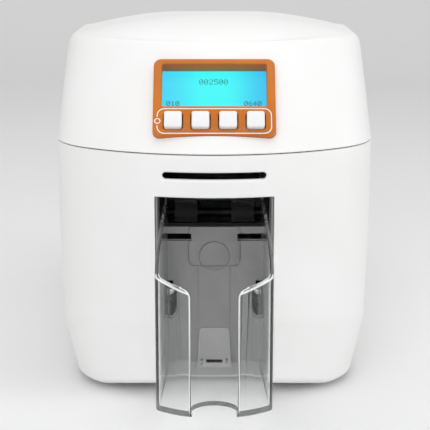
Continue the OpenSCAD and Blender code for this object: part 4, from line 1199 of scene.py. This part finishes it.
class PRINTER_OT_recess(bpy.types.Operator):
    """Makes the grey liner of the recess, the foot panel on it and the panel's dark window"""
    bl_idname = "printer.recess"
    bl_label = "Recess liner"

    def execute(self, context):
        p = context.scene.printer_finish
        # Mid grey ABS, spark eroded a little coarser than the casing, so it looks flatter
        grey = plastic("mid grey ABS, spark eroded", p.liner, "#888888", 0.5, 0.6, 0.02, 30.0)
        place_piece(recess_liner(), "base", ["recess_panel"], grey)
        # Same ABS as the liner, in a lighter grey that paints the extra light the raised foot panel catches
        cover = plastic("grey ABS, spark eroded, painted lighter", "#ABABAB", "#A4A4A4", 0.5, 0.6, 0.02, 30.0)
        place_piece(foot_panel(), "base", [], cover)
        # Smoked polycarbonate: glossy and nearly black, with hardly any grain
        smoke = plastic("smoked polycarbonate window", "#17191C", "#1D2024", 0.16, 2.0, 0.002, 8.0, 0.5)
        place_piece(dark_window(), "base", [], smoke)
        return {"FINISHED"}


class PRINTER_OT_feet(bpy.types.Operator):
    """Makes the rubber feet"""
    bl_idname = "printer.feet"
    bl_label = "Feet"

    def execute(self, context):
        # Moulded nitrile rubber, with dust in its skin
        foot = rubber("nitrile rubber, moulded", "#171717", "#2A2A29", 0.75, 0.5, 0.03, 0.15)
        place_piece(rubber_foot_set(), "base", ["rubber_feet"], foot)
        return {"FINISHED"}


class PRINTER_OT_catches(bpy.types.Operator):
    """Makes the two catches that hold the lid down"""
    bl_idname = "printer.catches"
    bl_label = "Lid catches"

    def execute(self, context):
        grey = bpy.data.materials["light grey ABS, fine grain"]
        for side, word in ((-1, "left"), (1, "right")):
            place_piece(latch_piece(side), "catch_" + word, ["latch_" + word], grey)
        return {"FINISHED"}


class PRINTER_OT_mechanism(bpy.types.Operator):
    """Gives the mechanism inside, which keeps its CAD shapes, its real materials"""
    bl_idname = "printer.mechanism"
    bl_label = "Mechanism finishes"

    def execute(self, context):
        low, high = limits("lcd_module")
        dress(lcd_screen(low[0], high[0]), "lcd_module")
        # Hard coated acrylic over the display: clear, with a trace of anti-glare haze
        m, tree, place = new_material("display cover, hard coated acrylic")
        haze = noise(tree, place, 0.6, 2.0)
        dress(principled(m, tree, {
            "Base Color": linear("#FDFEFE"), "Transmission Weight": 1.0, "IOR": 1.05,
            "Roughness": between(tree, haze, 0.0, 0.02), "Normal": relief(tree, haze, 0.001)}), "lcd_lens")
        # White screen ink: matt, and a touch thinner where the mesh left it
        dress(plastic("white screen ink, printed", "#EEF2F7", "#E2E8EE", 0.5, 0.25, 0.004, 1.5),
              "panel_print")
        # Black ABS with the slight grey bloom that moulding leaves
        dress(plastic("black ABS, moulded", "#121213", "#1B1B1C", 0.45, 0.5, 0.015, 14.0),
              "card_bed", "dc_inlet", "drive_motor")
        # Same ABS with a coarser skin, painted darker and with weaker reflections for the shade inside the
        # card exit
        dress(plastic("black ABS, coarse, painted shade of the exit", "#080809", "#0E0E0F", 0.6, 0.8, 0.03, 10.0, 0.0, 0.2),
              "exit_throat")
        dress(bpy.data.materials["dark glass filled nylon, moulded"],
              "top_deck", "deck_fittings", "ribbon_motor")
        # Moulded epoxy: dull black blocks whose tone drifts a little
        dress(plastic("epoxy chips, moulded", "#1C1C1E", "#2C2D30", 0.5, 0.3, 0.01, 9.0), "board_parts")
        dress(circuit_board(), "main_board", "button_board")
        # Ground steel shafts: bright, with short grinding marks drawn 0.4 mm apart
        dress(metal("shaft steel, ground", "#B9BABC", "#A9ABAE", 0.22, 1, 0.4, 4.0, 0.004),
              "cross_bars", "infeed_shaft", "platen_shaft", "cleaning_shaft", "pick_shaft",
              "motor_pulley", "hinge_pins", "pan_screws")
        # The shaft that shows at the exit: the ground steel painted dark and dull with the shade inside the
        # exit, the grinding marks still under it
        dress(metal("shaft steel, painted shade of the exit", "#1B1B1D", "#252528", 0.42, 1, 0.4, 4.0, 0.004),
              "exit_shaft")
        # Zinc plated sheet: bluish, with rolling lines along it and cloudy patches
        dress(metal("steel sheet, zinc plated", "#B4B9BD", "#9FA6AD", 0.36, 1, 30.0, 0.7, 0.006, 12.0),
              "chassis_left", "chassis_right", "base_pan", "rear_panel")
        # Tin plated connector shells: brighter and smoother than the sheet
        dress(metal("connector shells, tin plated", "#C6C8CA", "#BBBDC0", 0.25, 1, 8.0, 0.5, 0.002, 6.0),
              "usb_port", "ethernet_port")
        # Powder coat on the lid frame: orange peel about 1.5 mm across
        dress(plastic("powder coat, slate", "#4D555D", "#474E56", 0.42, 1.5, 0.05, 30.0), "lid_frame")
        # Extruded and anodised heat sink: fine die lines along its length
        dress(metal("aluminium, anodised", "#C9CBCD", "#BFC1C4", 0.38, 0, 40.0, 0.5, 0.006), "head_carrier")
        # Glazed ceramic head: warm, very smooth, with a soft waviness
        dress(plastic("alumina ceramic, glazed", "#CDBB98", "#C2AE88", 0.12, 5.0, 0.01, 9.0, 0.4),
              "printhead")
        # Natural nylon bushes: a warm off-white with a soft shine
        dress(plastic("nylon bushes, natural", "#E4DFCE", "#DAD4C1", 0.4, 0.4, 0.008, 4.0), "shaft_bushes")
        # Ground EPDM rollers: matt, with a fine ground nap
        dress(rubber("EPDM rubber, ground", "#171718", "#202021", 0.8, 0.35, 0.03, 0.2),
              "exit_rubber", "infeed_rubber", "platen_rubber", "pick_rubber", "exit_pinch",
              "infeed_pinch", "cleaning_pinch")
        # Tacky silicone sleeve: blue, smooth, and it picks up pale dust
        dress(rubber("silicone sleeve, tacky", "#2F62A8", "#6E8FBE", 0.3, 0.6, 0.01, 0.1), "cleaning_sleeve")
        # Neoprene belt: fabric backed, so its grain is coarse, about 1 mm
        dress(rubber("neoprene belt, fabric backed", "#1B1B1C", "#2B2B2C", 0.7, 1.0, 0.06, 0.25),
              "timing_belt")
        low, high = limits("ribbon_film")
        dress(dye_film("PET film, dye coated", low[1], high[1] - low[1]), "ribbon_film")
        dress(wound_film("wound dye film, unused", "#3A2418", "#54301C", 0.7), "supply_spool")
        dress(wound_film("wound dye film, used", "#2A2A30", "#3C3440", 0.7), "takeup_spool")
        # Machined brass pinion: yellow, with turning marks
        dress(metal("brass, machined", "#C9A765", "#B8945A", 0.25, 0, 0.3, 2.0, 0.006, 5.0), "ribbon_pinion")
        return {"FINISHED"}


class PRINTER_OT_stage(bpy.types.Operator):
    """Sets the floor, the soft light and the camera at the photograph's viewing angle"""
    bl_idname = "printer.stage"
    bl_label = "Studio"

    def execute(self, context):
        scene, s = context.scene, context.scene.printer_studio
        floor = cyclorama()
        floor.data.materials.append(painted_floor(scene.printer_finish.board))
        studio_world(s.ambient, 0.9)
        soft_lamp("front soft box", (-300, -1500, 900), (0, 0, 120), 1100, s.front)
        soft_lamp("side soft box", (1300, -300, 500), (100, 0, 120), 500, s.side)
        soft_lamp("top soft box", (0, -100, 1500), (0, 0, 120), 1200, s.top)
        cam = bpy.data.cameras.new("camera")
        cam.lens = s.lens
        cam.sensor_width = 36.0
        cam.shift_x = 0.0016
        obj = add_object("camera", cam)
        obj.location = (0, NOSE_Y * MM - s.back, s.high)
        obj.rotation_euler = (math.pi / 2 - s.pitch, 0, 0)
        scene.camera = obj
        scene.view_settings.view_transform = "Standard"
        return {"FINISHED"}


PIECES = (PRINTER_OT_base, PRINTER_OT_lid, PRINTER_OT_feeder, PRINTER_OT_hopper, PRINTER_OT_panel,
          PRINTER_OT_recess, PRINTER_OT_feet, PRINTER_OT_catches, PRINTER_OT_mechanism, PRINTER_OT_stage)


class PRINTER_PT_pieces(bpy.types.Panel):
    """Lists the pieces of the printer and what can be changed on them"""
    bl_idname = "PRINTER_PT_pieces"
    bl_label = "Card printer"
    bl_space_type = "VIEW_3D"
    bl_region_type = "UI"
    bl_category = "Card printer"

    def draw(self, context):
        for group in (context.scene.printer_finish, context.scene.printer_studio):
            for key in group.__annotations__:
                self.layout.prop(group, key)
        for piece in PIECES:
            self.layout.operator(piece.bl_idname)


CLASSES = (PrinterFinish, PrinterStudio, *PIECES, PRINTER_PT_pieces)


def register():
    for c in CLASSES:
        bpy.utils.register_class(c)
    bpy.types.Scene.printer_finish = PointerProperty(type=PrinterFinish)
    bpy.types.Scene.printer_studio = PointerProperty(type=PrinterStudio)


def unregister():
    del bpy.types.Scene.printer_studio
    del bpy.types.Scene.printer_finish
    for c in reversed(CLASSES):
        bpy.utils.unregister_class(c)


def main():
    register()
    for piece in PIECES:
        group, name = piece.bl_idname.split(".")
        getattr(getattr(bpy.ops, group), name)()


if __name__ == "__main__":
    main()
